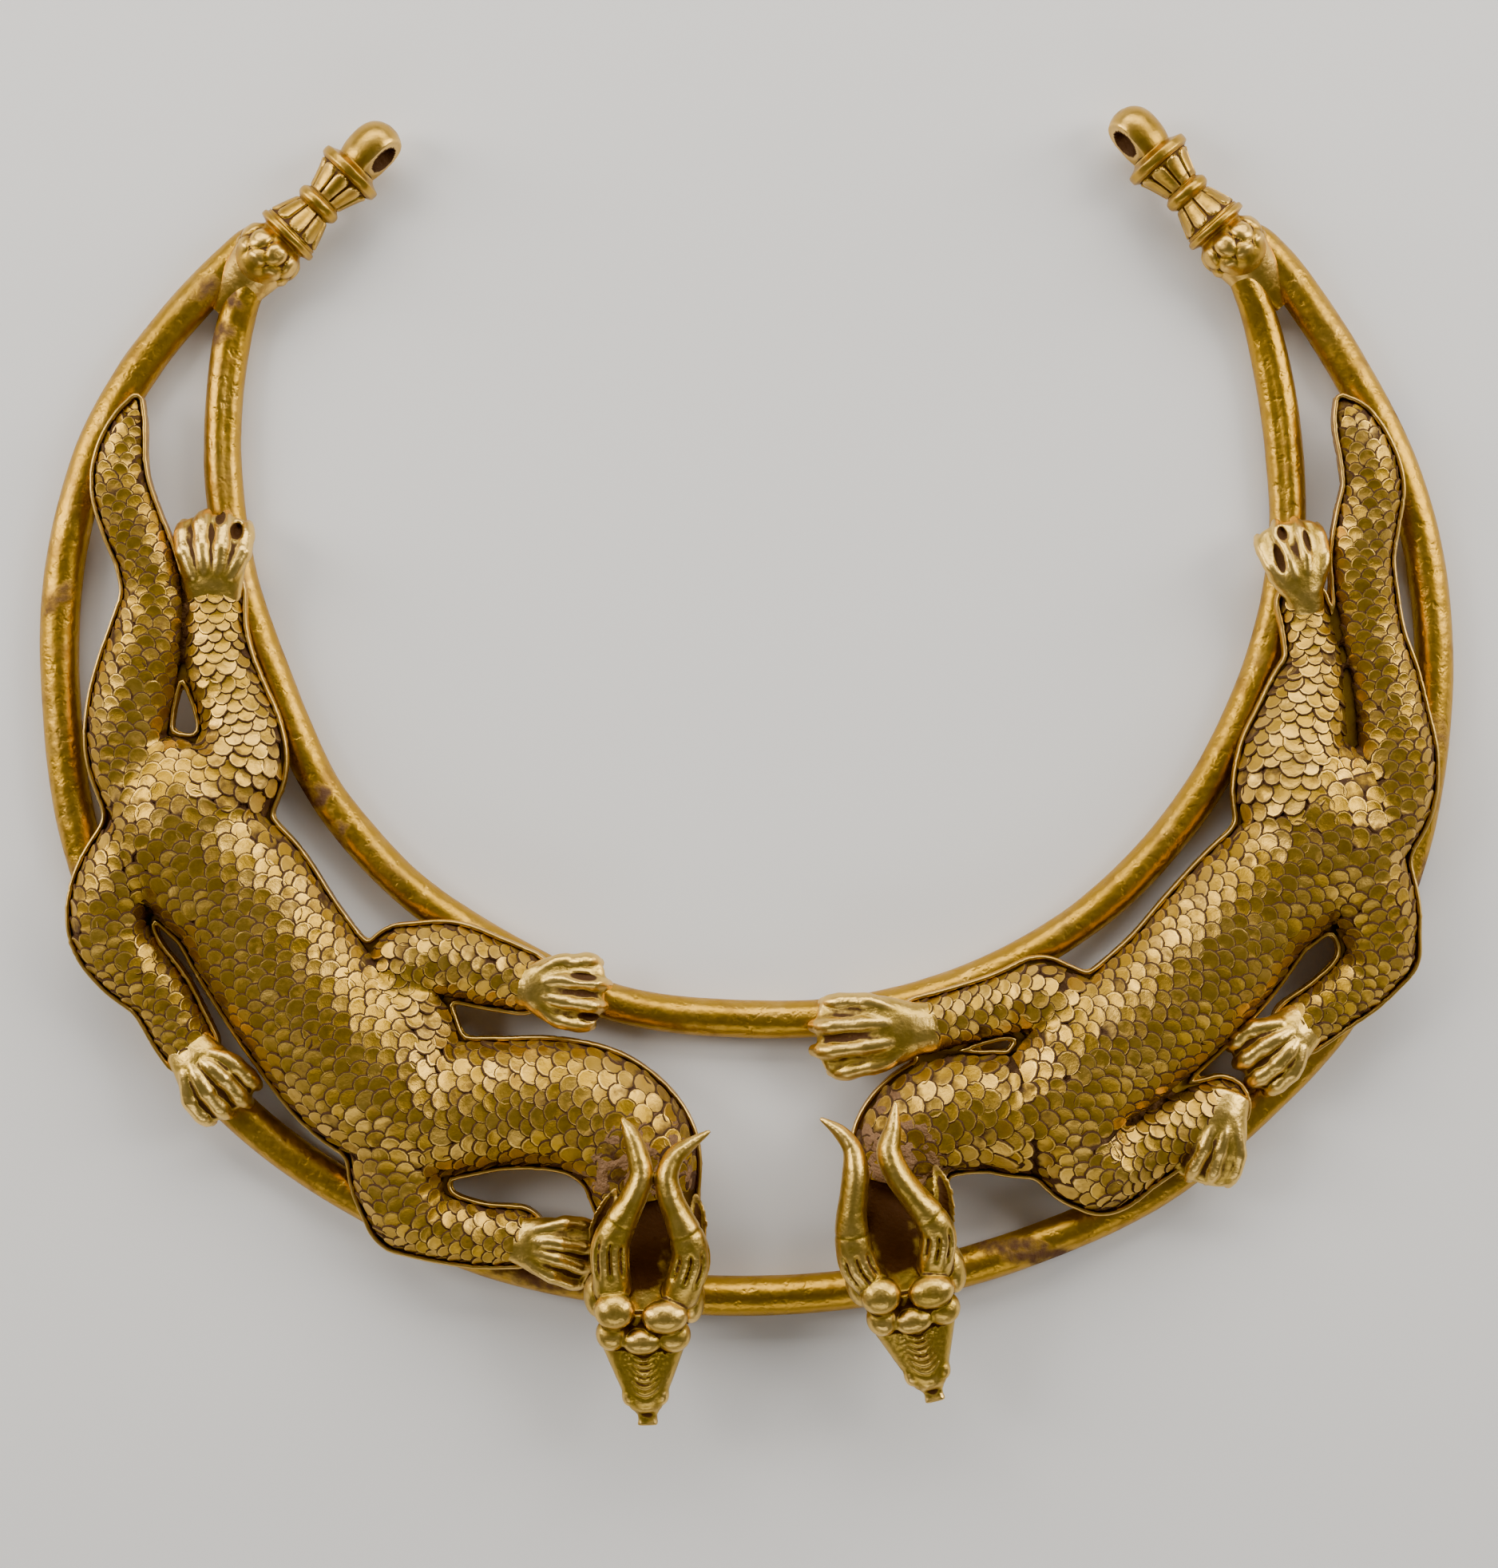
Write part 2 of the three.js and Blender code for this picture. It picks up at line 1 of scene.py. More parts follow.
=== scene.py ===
import bmesh
import bpy
import numpy as np
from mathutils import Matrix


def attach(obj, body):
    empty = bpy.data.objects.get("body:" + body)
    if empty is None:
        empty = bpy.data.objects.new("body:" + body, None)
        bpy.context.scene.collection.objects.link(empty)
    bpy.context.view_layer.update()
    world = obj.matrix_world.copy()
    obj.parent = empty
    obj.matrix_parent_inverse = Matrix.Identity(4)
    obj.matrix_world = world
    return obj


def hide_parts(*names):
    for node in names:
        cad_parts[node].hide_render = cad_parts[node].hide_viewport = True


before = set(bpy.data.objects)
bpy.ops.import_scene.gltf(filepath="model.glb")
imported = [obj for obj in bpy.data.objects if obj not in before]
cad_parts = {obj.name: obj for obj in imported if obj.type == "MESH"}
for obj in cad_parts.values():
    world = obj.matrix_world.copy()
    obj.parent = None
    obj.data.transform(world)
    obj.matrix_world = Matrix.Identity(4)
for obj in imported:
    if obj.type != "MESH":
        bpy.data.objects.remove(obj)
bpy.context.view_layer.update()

# The eye: half a metre above the table and looking straight down on it, a little below the middle
# of the ring, so that each dragon shows more of the side that faces the middle.
EYE_HEIGHT = 512
EYE_PLACE = (0.69, -2.76)
VIEW_WIDTH = 215.7
SENSOR_WIDTH = 36


def linked(name, data):
    """An object in the scene that holds the data."""
    thing = bpy.data.objects.new(name, data)
    bpy.context.scene.collection.objects.link(thing)
    return thing


camera = linked("camera", bpy.data.cameras.new("camera"))
camera.location = (EYE_PLACE[0] / 1000, EYE_PLACE[1] / 1000, EYE_HEIGHT / 1000)
camera.data.sensor_fit = "HORIZONTAL"
camera.data.sensor_width = SENSOR_WIDTH
camera.data.lens = SENSOR_WIDTH * EYE_HEIGHT / VIEW_WIDTH
camera.data.clip_start = 0.01
bpy.context.scene.camera = camera

# The light: a broad soft box beyond the top of the ring, one to each side, a weak one before it, and
# a dim room, so that the gold shows deep tones on top and pale ones where it turns to the light.
SOFTBOXES = (
    ("window", (0, 0.66, 0.5), (1.2, 0.4), 13, (1.0, 0.97, 0.93)),
    ("left_box", (-0.72, 0.22, 0.42), (0.3, 0.7), 8.5, (1.0, 0.96, 0.91)),
    ("right_box", (0.72, 0.27, 0.42), (0.3, 0.7), 8.5, (1.0, 0.97, 0.93)),
    ("front_box", (0, -0.72, 0.4), (0.9, 0.2), 2.2, (1.0, 0.98, 0.96)),
)
ROOM_LIGHT = 0.2
ROOM_COLOUR = (1.0, 0.99, 0.97, 1)


def softbox(name, place, size, watts, colour):
    """A rectangular lamp at a place, turned to face the middle of the table."""
    lamp = linked(name, bpy.data.lights.new(name, "AREA"))
    lamp.data.shape = "RECTANGLE"
    lamp.data.size, lamp.data.size_y = size
    lamp.data.energy = watts
    lamp.data.color = colour
    lamp.location = place
    lamp.rotation_euler = (-lamp.location).to_track_quat("-Z", "Y").to_euler()


for box in SOFTBOXES:
    softbox(*box)

room = bpy.data.worlds.new("room")
room.use_nodes = True
background = room.node_tree.nodes["Background"].inputs
background["Color"].default_value = ROOM_COLOUR
background["Strength"].default_value = ROOM_LIGHT
bpy.context.scene.world = room
bpy.context.scene.view_settings.view_transform = "AgX"
bpy.context.scene.view_settings.look = "AgX - Punchy"

# The table: a plain pale sheet under the torc, which isn't part of it.
TABLE_HALF = 1.5
TABLE_COLOUR = (0.86, 0.85, 0.83, 1)
TABLE_ROUGHNESS = 0.9


def mesh_object(name, points, faces):
    """An object in the scene with a mesh of points and faces."""
    mesh = bpy.data.meshes.new(name)
    mesh.from_pydata(points, [], faces)
    return linked(name, mesh)


corners = [(x * TABLE_HALF, y * TABLE_HALF, 0) for x, y in ((-1, -1), (1, -1), (1, 1), (-1, 1))]
table = mesh_object("table", corners, [(0, 1, 2, 3)])
matt = bpy.data.materials.new("matt_paper")
matt.use_nodes = True
paper = matt.node_tree.nodes["Principled BSDF"].inputs
paper["Base Color"].default_value = TABLE_COLOUR
paper["Roughness"].default_value = TABLE_ROUGHNESS
table.data.materials.append(matt)

# The two tubes: gold sheet rolled and drawn into tube, then bent by hand, so that neither the bend
# nor the thickness is quite even. They lie on a narrow worn flat and rise into the fluted ends.
TORC_WIDTH = 202
SHARE = TORC_WIDTH / 100
OUTER_TUBE_RADIUS = 2.8
INNER_TUBE_RADIUS = 2.7
TUBE_ROWS = 460
TUBE_SIDES = 36
TUBE_UNEVEN = 0.018
TUBE_OVAL = 0.012
TAPER_SHARE = 0.07
UNDERSIDE_FLAT = 0.15
CALYX_RADIUS = 5.2
END_TAPER = 0.24
OUTER_LINE = [
    [-34.5, 37.4], [-35.7, 36.7], [-40.3, 31.8], [-43.8, 27.1], [-46.7, 21.2], [-48.5, 13.5], [-48.7, 5],
    [-47.4, -4.9], [-43.6, -14.6], [-37.6, -23.1], [-29.7, -29.5], [-18.9, -34.9], [-7.5, -37.4],
    [2.6, -37.8], [12.4, -36.6], [21.2, -34], [29.4, -30.1], [36.9, -23.9], [43.1, -16.6], [47.5, -5.8],
    [49.1, 5], [48.6, 14.1], [46.5, 21.5], [43.1, 28.2], [39.7, 33.5], [37, 36.9], [35.7, 37.8],
]
INNER_LINE = [
    [-34.5, 35.2], [-36.1, 32], [-37, 26.6], [-37.1, 20.3], [-36, 13.2], [-33.8, 6.8], [-30.7, -0.5],
    [-27.4, -5.2], [-22.9, -9.6], [-16.7, -13.5], [-9.1, -17], [-0.5, -18.1], [8.4, -17.7], [17.3, -15],
    [25.6, -9.9], [32.3, -2.4], [36.6, 6.2], [38.6, 14.7], [38.4, 23.2], [37, 30.9], [35.2, 35.6],
]


class Signal:
    """An output of a node in a material. Arithmetic on it adds the Math nodes that work it out."""

    def __init__(self, tree, socket):
        self.tree = tree
        self.socket = socket

    def node(self, kind, settings, inputs, output=0):
        """Adds a node, sets it, feeds its inputs with values or signals, and gives one output."""
        made = self.tree.nodes.new("ShaderNode" + kind)
        for key, value in settings.items():
            setattr(made, key, value)
        for key, value in inputs.items():
            if isinstance(value, Signal):
                self.tree.links.new(value.socket, made.inputs[key])
            else:
                made.inputs[key].default_value = value
        return Signal(self.tree, made.outputs[output])

    def maths(self, operation, *values):
        return self.node("Math", {"operation": operation}, dict(enumerate(values)))

    def __add__(self, other):
        return self.maths("ADD", self, other)

    def __sub__(self, other):
        return self.maths("SUBTRACT", self, other)

    def __rsub__(self, other):
        return self.maths("SUBTRACT", other, self)

    def __mul__(self, other):
        return self.maths("MULTIPLY", self, other)

    __radd__ = __add__

    def between(self, low, high):
        """0 below low, 1 above high, and smooth between them."""
        inputs = {"Value": self, "From Min": low, "From Max": high}
        return self.node("MapRange", {"interpolation_type": "SMOOTHSTEP"}, inputs)

    def mottle(self, size, detail=3):
        """Cloudy noise from 0 to 1 over places in metres, with patches of that size in millimetres."""
        return self.node("TexNoise", {}, {"Vector": self, "Scale": 1000 / size, "Detail": detail})

    def blend(self, first, second):
        """The first colour where this is 0, the second where it is 1."""
        inputs = {"Factor": self, 6: first, 7: second}
        return self.node("Mix", {"data_type": "RGBA"}, inputs, output=2)


def gold(name, deep, pale, dirt_and_shade_colour, roughness, bump, metal=1):
    """Worn gold: deep and pale patches, paler where the piece's mark of polish and painted highlight is
    high, and a dark colour where its mark of dirt and painted shade is high. bump gives the height
    of fine dents, in millimetres, from the place signal."""
    material = bpy.data.materials.new(name)
    material.use_nodes = True
    tree = material.node_tree
    shader = tree.nodes["Principled BSDF"]
    place = Signal(tree, tree.nodes.new("ShaderNodeTexCoord").outputs["Object"])
    dirt = place.node("Attribute", {"attribute_name": "dirt"}, {}, output="Fac")
    polish = place.node("Attribute", {"attribute_name": "polish"}, {}, output="Fac")
    patches = place.mottle(9) * 0.6 + place.mottle(2.2) * 0.4
    # The dark colour paints dirt and painted shade; the pale share paints rubbed wear and painted
    # highlights.
    dirt_and_shade_share = (dirt + place.mottle(1.6, 4) * 0.9 - 0.48).between(0.12, 0.65)
    wear_and_shading = (patches * 0.9 + polish * 0.45 - 0.27).between(0.1, 0.85)
    tarnish = (place.mottle(3.5, 5) - polish * 0.15).between(0.52, 0.72) * 0.45
    feed = {
        "Base Color": dirt_and_shade_share.blend(tarnish.blend(wear_and_shading.blend(deep, pale), TARNISH), dirt_and_shade_colour),
        "Metallic": metal - dirt_and_shade_share * 0.85 * metal,
        "Roughness": roughness + place.mottle(0.8) * 0.14 + dirt_and_shade_share * 0.4 + tarnish * 0.2 - wear_and_shading * 0.06,
    }
    height = bump(place) + dirt_and_shade_share * place.mottle(0.5, 4) * 0.3
    feed["Normal"] = place.node("Bump", {}, {"Strength": 0.6, "Distance": 0.001, "Height": height})
    shader.inputs["Specular IOR Level"].default_value = 0.2
    for key, signal in feed.items():
        tree.links.new(signal.socket, shader.inputs[key])
    return material


def smooth_line(points, count):
    """A curve through rows of numbers, as count even rows. Between two of them it is the cubic whose
    slope at each is half the step between its neighbours."""
    rows = np.array(points, float)
    padded = np.vstack([2 * rows[0] - rows[1], rows, 2 * rows[-1] - rows[-2]])
    t = np.linspace(0, len(rows) - 1, count)
    i = np.minimum(t.astype(int), len(rows) - 2)
    u = (t - i)[:, None]
    a, b, c, d = (padded[i + k] for k in range(4))
    cubic = (3 * b - 3 * c + d - a) * u**3 + (2 * a - 5 * b + 4 * c - d) * u**2 + (c - a) * u + 2 * b
    return cubic / 2


def drawn(length, height):
    """A drawn share of the width, in millimetres at a height: what stands nearer the eye is smaller."""
    return length * SHARE * (1 - height / EYE_HEIGHT)


def frame_along(line):
    """The unit vectors ahead, to the left side and up at each row of a line."""
    ahead = np.gradient(line[:, :3], axis=0)
    ahead /= np.linalg.norm(ahead, axis=1)[:, None]
    side = np.stack([-ahead[:, 1], ahead[:, 0], 0 * ahead[:, 0]], 1)
    side /= np.linalg.norm(side, axis=1)[:, None]
    return ahead, side, np.cross(ahead, side)


def ring_about(line, across, rise):
    """Rings of points: each row's place, plus across along its side and rise along its up."""
    ahead, side, up = frame_along(line)
    return line[:, None, :3] + across[..., None] * side[:, None] + rise[..., None] * up[:, None]


def skin(rings):
    """The points and faces of a closed surface through rings, with a flat face over each end."""
    rows, around = rings.shape[:2]
    index = np.arange(rows * around).reshape(rows, around)
    ahead = index[1:]
    quads = np.stack([index[:-1], np.roll(index[:-1], -1, 1), np.roll(ahead, -1, 1), ahead], -1)
    faces = quads.reshape(-1, 4).tolist() + [index[0, ::-1].tolist(), index[-1].tolist()]
    return rings.reshape(-1, 3), faces


def together(shells):
    """Several shells as one: their points in a row, and their faces counted on."""
    starts = np.cumsum([0] + [len(points) for points, _ in shells[:-1]])
    faces = [[v + start for v in face] for start, (_, part) in zip(starts, shells) for face in part]
    return np.vstack([points for points, _ in shells]), faces


def relief(mesh, points, rounds):
    """How far each point stands out along its normal, in millimetres, from where it goes when all points
    are averaged with their neighbours over and over: less than zero in hollows."""
    pairs = np.empty(2 * len(mesh.edges), np.int32)
    mesh.edges.foreach_get("vertices", pairs)
    ends = np.concatenate([pairs[::2], pairs[1::2]])
    others = np.concatenate([pairs[1::2], pairs[::2]])
    normals = np.empty(3 * len(points))
    mesh.vertices.foreach_get("normal", normals)
    count = np.maximum(np.bincount(ends, minlength=len(points)), 1)
    calm = points.copy()
    for _ in range(rounds):
        for axis in range(3):
            calm[:, axis] = np.bincount(ends, calm[others, axis], len(points)) / count
    return ((points - calm) * normals.reshape(-1, 3)).sum(1)


def finish(name, shell, material, nodes, slot, crisp=None, relief_rounds_and_depth=None, **marks):
    """A piece of the torc from points in millimetres, with a value per point for each mark, shaded smooth
    but for edges that turn by more than crisp degrees. Given a number of rounds and a depth in
    millimetres, the hollows are darkened as dirt and painted shade, and the ridges are brightened as
    rubbed wear and painted highlight."""
    points, faces = shell
    piece = mesh_object(name, points / 1000, faces)
    mesh = piece.data
    mesh.polygons.foreach_set("use_smooth", np.ones(len(mesh.polygons), bool))
    if crisp:
        mesh.set_sharp_from_angle(angle=np.radians(crisp))
    # Painted shade in the hollows and a painted highlight on the ridges, along with dirt and rubbed wear.
    high = relief(mesh, points, relief_rounds_and_depth[0]) / relief_rounds_and_depth[1] if relief_rounds_and_depth else np.zeros(len(points))
    for key, wear_and_shading in (("dirt", np.clip(-high - 0.1, 0, 1)), ("polish", np.clip(high, 0, 1))):
        values = np.clip(marks.get(key, 0) + wear_and_shading, 0, 1)
        mesh.attributes.new(key, "FLOAT", "POINT").data.foreach_set("value", values)
    mesh.materials.append(material)
    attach(piece, "root")
    if nodes:
        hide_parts(*nodes)


def wander(t, seed):
    """A slow random wave between about -1 and 1: a sum of five sines of t with random phases."""
    phases = np.random.default_rng(seed).uniform(0, 2 * np.pi, 5)
    return sum(np.sin(k * t + phase) / k for k, phase in enumerate(phases, 1)) / 1.6


def once_round(count):
    """A row of angles at even steps round a circle."""
    return np.linspace(0, 2 * np.pi, count, endpoint=False)[None]


def eased(u):
    """0 below 0 and 1 above 1, and between them three times the square less twice the cube."""
    u = np.clip(u, 0, 1)
    return u**2 * (3 - 2 * u)


def bell(value, middle, width):
    """e to the minus square of how many widths a value is from the middle, where this is 1."""
    return np.exp(-(((value - middle) / width) ** 2))


def bent_tube(line, radius, seed, groove):
    """A tube along a line: its radius wanders a few percent, it is flat where it lies, and near both
    ends a trough as deep as groove runs along its top."""
    path = smooth_line([[x, y, 0] for x, y in line], TUBE_ROWS)
    t = np.linspace(0, 1, TUBE_ROWS)
    to_end = np.minimum(t, 1 - t) / TAPER_SHARE
    rise = 1 - eased(to_end)
    thick = radius * (1 - END_TAPER * rise)
    height = (thick - UNDERSIDE_FLAT) * (1 - rise) + CALYX_RADIUS * rise
    path[:, :2] = drawn(path[:, :2], height[:, None])
    path[:, 2] = height
    t = t[:, None]
    angle = once_round(TUBE_SIDES)
    uneven = TUBE_UNEVEN * wander(34 * t, seed) + TUBE_OVAL * wander(90 * t, seed + 1) * np.cos(2 * angle)
    trough = bell(angle, np.pi / 2 - 0.3, 0.3) * bell(to_end[:, None], 1.6, 1.1)
    r = thick[:, None] * (1 + uneven) - groove * trough
    rings = ring_about(path, r * np.cos(angle), r * np.sin(angle))
    rings[..., 2] = np.maximum(rings[..., 2], 0)
    # Random stains in patches, and the tube is darker all along its lower side.
    patch = wander(45 * t, seed + 2) + np.sin(angle + 4 * wander(17 * t, seed + 3))
    stain_and_underside = np.clip(patch - 1.0, 0, 0.6) + 0.25 * np.clip(0.5 - np.sin(angle), 0, 1)
    return skin(rings), stain_and_underside.ravel()


TARNISH = (0.20, 0.095, 0.03, 1)
TUBE_DEEP = (0.52, 0.29, 0.025, 1)
TUBE_PALE = (0.88, 0.58, 0.18, 1)
EARTH = (0.14, 0.068, 0.034, 1)
tube_gold = gold(
    "drawn_gold", TUBE_DEEP, TUBE_PALE, EARTH, 0.3,
    lambda place: place.mottle(3.5) * 0.5 + place.mottle(1.4, 2).between(0.52, 0.75) * -0.09,
)
for name, line, radius, seed, groove in (
    ("outer_tube", OUTER_LINE, OUTER_TUBE_RADIUS, 1, 0.0),
    ("inner_tube", INNER_LINE, INNER_TUBE_RADIUS, 11, 0.35),
):
    shell, stain_and_underside = bent_tube(line, radius, seed, groove)
    finish(name, shell, tube_gold, [name.replace("tube", "hoop")], "tube_gold", dirt=stain_and_underside)

# The fluted ends: each is one hollow casting, worked over with a chaser's tools. A calyx of leaves
# holds both tubes, then come two fluted cups with a ring between them, and a knob with a socket.
END_PLACES = {"left": (-34.8, 35.5, 45, -1), "right": (35.7, 36, 131, 1)}
END_PROFILE = [
    # along, radius
    [-2.4, 0.8], [-2, 2], [-1.2, 3.1], [-0.2, 3.8], [1, 4.2], [2.6, 4.3], [4.2, 4], [5.1, 3.6],
    [5.5, 3.5], [5.75, 4.1], [5.95, 4.65], [6.4, 4.75], [6.75, 4.65], [6.9, 4.35], [7.2, 4.25],
    [7.4, 4.25], [8.6, 3.85], [10, 3.35], [11.2, 2.85], [11.45, 2.6], [11.7, 2.9], [12.1, 3.3],
    [12.6, 3.4], [13.1, 3.3], [13.45, 2.9], [13.7, 2.6], [14, 2.75], [15.2, 3.15], [16.8, 3.75],
    [17.9, 4.3], [18.1, 4.4], [18.3, 4.75], [18.6, 4.9], [19.3, 4.9], [19.55, 4.75], [19.75, 4.2],
    [20, 3.6], [20.3, 3.2], [20.7, 3.3], [21.8, 3.55], [23.4, 3.65], [25, 3.5], [26.3, 2.95],
    [27.2, 2], [27.7, 0.8],
]
END_ROWS = 230
END_SIDES = 150
PETALS = 9
PETAL_DEPTH = 0.34
PETAL_REACH = ((7.3, 11.4, -1), (13.9, 18.0, 1))
LEAVES = 8
LEAF_HEIGHT = 0.75
# each row's middle and half length along the axis, and whether it stands between the other's leaves
LEAF_ROWS = ((3.4, 2.1, 0), (0.9, 1.7, 1))
LEAF_SHOW = {-0.2: 0.3, 1: 1, 2.6: 1, 4.2: 1, 5.1: 0.2}
KNOB_START = 20.4
SOCKET = {"along": 23.6, "radius": 1.95, "face": 2.3, "floor": 0.9, "tilt": 14}
FLAT_TURN = 1.3
AXIS_HEIGHT = CALYX_RADIUS + 0.3
SOLDER_WEB = [
    # along, half width, half height
    [-8.5, 0.8, 0.6], [-6, 2.4, 1.3], [-3, 3.7, 2.2], [0.5, 4.3, 3.5],
]


def ramp(value, zero, one):
    """How far a value has come from a first limit, where this is 0, to a second, where it is 1."""
    return np.clip((value - zero) / (one - zero), 0, 1)


def about_x(along, across, rise):
    """Rings of points about the X axis, from their places along it, across it and up."""
    return np.stack(np.broadcast_arrays(along, across, rise), -1)


def inside_leaf(u, v):
    """How high a leaf stands, where u and v run over it from -1 to 1: the square root of 1 less the
    square of v and less a lower power of u, which makes the ends pointed."""
    return np.sqrt(np.clip(1 - v**2 - np.abs(u) ** 1.4, 0, 1))


def fluted_end(side):
    """A turned and chased end: its radius is a profile along the axis. Petals with round ends stand on
    the cups, and two rows of pointed leaves on the calyx. The knob has a flat with a socket in it."""
    rows = [
        [x, r, any(start < x < stop for start, stop, _ in PETAL_REACH), LEAF_SHOW.get(x, 0)]
        for x, r in END_PROFILE
    ]
    along, radius, petals, leaves = smooth_line(rows, END_ROWS).T[..., None]
    petals, leaves = np.clip([petals, leaves], 0, 1)
    angle = once_round(END_SIDES)
    across = (PETALS * angle / np.pi) % 2 - 1
    lowered = 0
    for start, stop, way in PETAL_REACH:
        u = (along - start) / (stop - start) * 2 - 1
        edge = across**2 * 1.15 + ramp(u * way, 0.45, 0.95) ** 2
        lowered = lowered + ramp(edge, 0.72, 0.92) * (np.abs(u) < 1)
    crown = 0.12 * (1 - across**2) * petals
    buds = 0
    for middle, half, turned in LEAF_ROWS:
        v = (LEAVES * angle / np.pi + turned) % 2 - 1
        buds = np.maximum(buds, inside_leaf((along - middle) / half, v * 1.02) - 0.25 * turned)
    buds = (buds - 0.12 * np.exp(-((buds - 1) ** 2) / 0.004)) * leaves
    r = radius - PETAL_DEPTH * lowered * petals + crown + LEAF_HEIGHT * buds
    facing = np.radians(SOCKET["tilt"] if side > 0 else 180 - SOCKET["tilt"])
    off = np.angle(np.exp(1j * (angle - facing)))
    on_knob = (along > KNOB_START) & (np.abs(off) < FLAT_TURN)
    r = np.where(on_knob, np.minimum(r, SOCKET["face"] / np.cos(np.clip(off, -FLAT_TURN, FLAT_TURN))), r)
    from_socket = np.hypot(along - SOCKET["along"], r * np.sin(off))
    r = np.where(on_knob & (from_socket < SOCKET["radius"]), SOCKET["floor"], r)
    dirt = 1.0 * on_knob * (from_socket < SOCKET["radius"] + 0.3) + 0.3 * (radius < 3.0) * (along < 20)
    return about_x(along, r * np.cos(angle), r * np.sin(angle)), dirt


def turned_about(local, x, y, heading, height):
    """Points built along +X, turned to a heading and set down at a drawn place and a height."""
    c, s = np.cos(np.radians(heading)), np.sin(np.radians(heading))
    turn = np.array([[c, -s, 0], [s, c, 0], [0, 0, 1]])
    return local @ turn.T + [drawn(x, height), drawn(y, height), height]


def solder_web():
    """The metal that fills the crotch of the two tubes: flat ovals that widen towards the calyx."""
    places, halves, heights = np.array(SOLDER_WEB).T
    along = np.linspace(places[0], places[-1], 24)[:, None]
    angle = once_round(48)
    across = np.interp(along, places, halves) * np.cos(angle)
    middle = np.interp(along, [-8.5, -4, 0.5], [-2.6, -1.1, 0])
    return about_x(along, across, middle + np.interp(along, places, heights) * np.sin(angle))


chased_gold = gold(
    "chased_gold", (0.46, 0.26, 0.025, 1), (0.84, 0.54, 0.14, 1), (0.09, 0.042, 0.018, 1), 0.3,
    lambda place: place.mottle(1.6) * 0.12 + place.mottle(0.4, 2) * 0.02,
)
for side_name, (x, y, heading, side) in END_PLACES.items():
    local, dirt = fluted_end(side)
    web = solder_web()
    parts = [skin(turned_about(part, x, y, heading, AXIS_HEIGHT)) for part in (local, web)]
    points, faces = together(parts)
    points[:, 2] = np.maximum(points[:, 2], 0)
    finish(
        f"{side_name}_fluted_end", (points, faces), chased_gold, [f"{side_name}_terminal"], "tube_gold",
        crisp=42, relief_rounds_and_depth=(12, 0.15), dirt=np.concatenate([dirt.ravel(), np.full(web[..., 0].size, 0.15)]),
    )

# How the dragons lie, as shares of the torc's width in percent, from its middle, as the eye sees them.
# A limb is a row of [x, y, half width] from its far end towards the body. A paw is [x, y, heading,
# length, width] at its wrist, then the girth of its fingers and wrist as shares of the width. A head is
# [x, y, heading] at its brow.
LEFT_DRAGON = {
    "trunk": [
        [-40.7, -1.5, 3.4], [-40.2, -4.4, 5], [-38.1, -7.2, 5.2], [-35.9, -9.5, 5.2], [-33.6, -13.2, 5.3],
        [-30.2, -18, 5.5], [-26.7, -22, 5.6], [-22.8, -24.4, 4.9], [-17.7, -24.2, 4.4],
        [-13.7, -24.2, 4.4], [-10.3, -25.1, 4.4], [-7.8, -27.4, 4.2], [-7, -30.8, 3.5],
    ],
    "tail": [
        [-43.4, 25.9, 0.2], [-44, 24.1, 1], [-44.5, 22, 1.5], [-44.5, 19.8, 1.8], [-43.7, 17.2, 1.9],
        [-42.7, 14.7, 1.9], [-42.2, 12.1, 2], [-42.6, 9.3, 2.4], [-43.2, 6.7, 2.7], [-43.8, 3.9, 2.8],
        [-44, 1, 2.7], [-43, -1.8, 2.7], [-40.7, -4.9, 3.1],
    ],
    "legs": [
        [
            [-37.8, 12.3, 1.9], [-37.8, 9.6, 2], [-37.5, 7, 2.3], [-36.6, 4.5, 2.4], [-36, 2.3, 2.7],
            [-36.3, -0.2, 3.3], [-38.1, -2.7, 3.7], [-40.2, -4.9, 3.4],
        ],
        [
            [-39.6, -20.1, 1.8], [-40.3, -18.9, 1.9], [-41.8, -16.3, 2], [-44, -14, 2.4],
            [-45.2, -11.8, 2.7], [-45, -9.2, 2.8], [-43.6, -6.6, 2.8], [-41.6, -5.2, 2.8],
        ],
        [[-15.9, -15.5, 2], [-18.3, -14.8, 2.3], [-21.1, -14, 2.5], [-24.2, -14, 2.3]],
        [[-24.5, -14.6, 2.4], [-24.6, -16.6, 2.6], [-23.9, -19.2, 3.2], [-23.4, -22, 3.4]],
        [[-16.3, -33.7, 1.9], [-18.9, -33.6, 2], [-21.7, -33, 2.2], [-24, -32.2, 2.4]],
        [[-24.1, -31.4, 2.8], [-24.7, -29.1, 3.2], [-24.4, -26.4, 3.4], [-24, -25.1, 3.4]],
    ],
    "paws": {
        "inner_hind": [-37.8, 12.6, 90, 5.1, 5.2, 0.105, 0.4],
        "outer_hind": [-39.2, -20.7, -52, 4.8, 5, 0.115, 0.38],
        "inner_fore": [-15.6, -15.7, -8, 5.6, 5.3, 0.095, 0.31],
        "outer_fore": [-15.9, -33.9, -14, 5.4, 4.8, 0.1, 0.36],
    },
    "head": [-7.4, -38.3, -88],
    "horns": [
        [
            [-7.6, -11.6, 12, 6.5], [-25.6, -11.7, 17, 6.8], [-37, -7, 20, 6.5], [-47.5, -0.9, 22, 5.8],
            [-57.5, 3.1, 22, 5.2], [-67.3, 1.6, 21, 4.7], [-76.4, -1.3, 20, 3.4], [-81.9, -4.3, 19, 1],
        ],
        [
            [-4.4, 17.8, 12, 6.5], [-18.6, 23, 17, 6.8], [-28.4, 22.2, 20, 6.8], [-38.6, 18.6, 22, 6.1],
            [-47.7, 15.3, 23, 5.6], [-56.7, 14.2, 23, 5], [-64.9, 17.7, 22, 4.3], [-69.7, 23.7, 21, 3.2],
            [-75.2, 32.9, 20, 1],
        ],
    ],
}
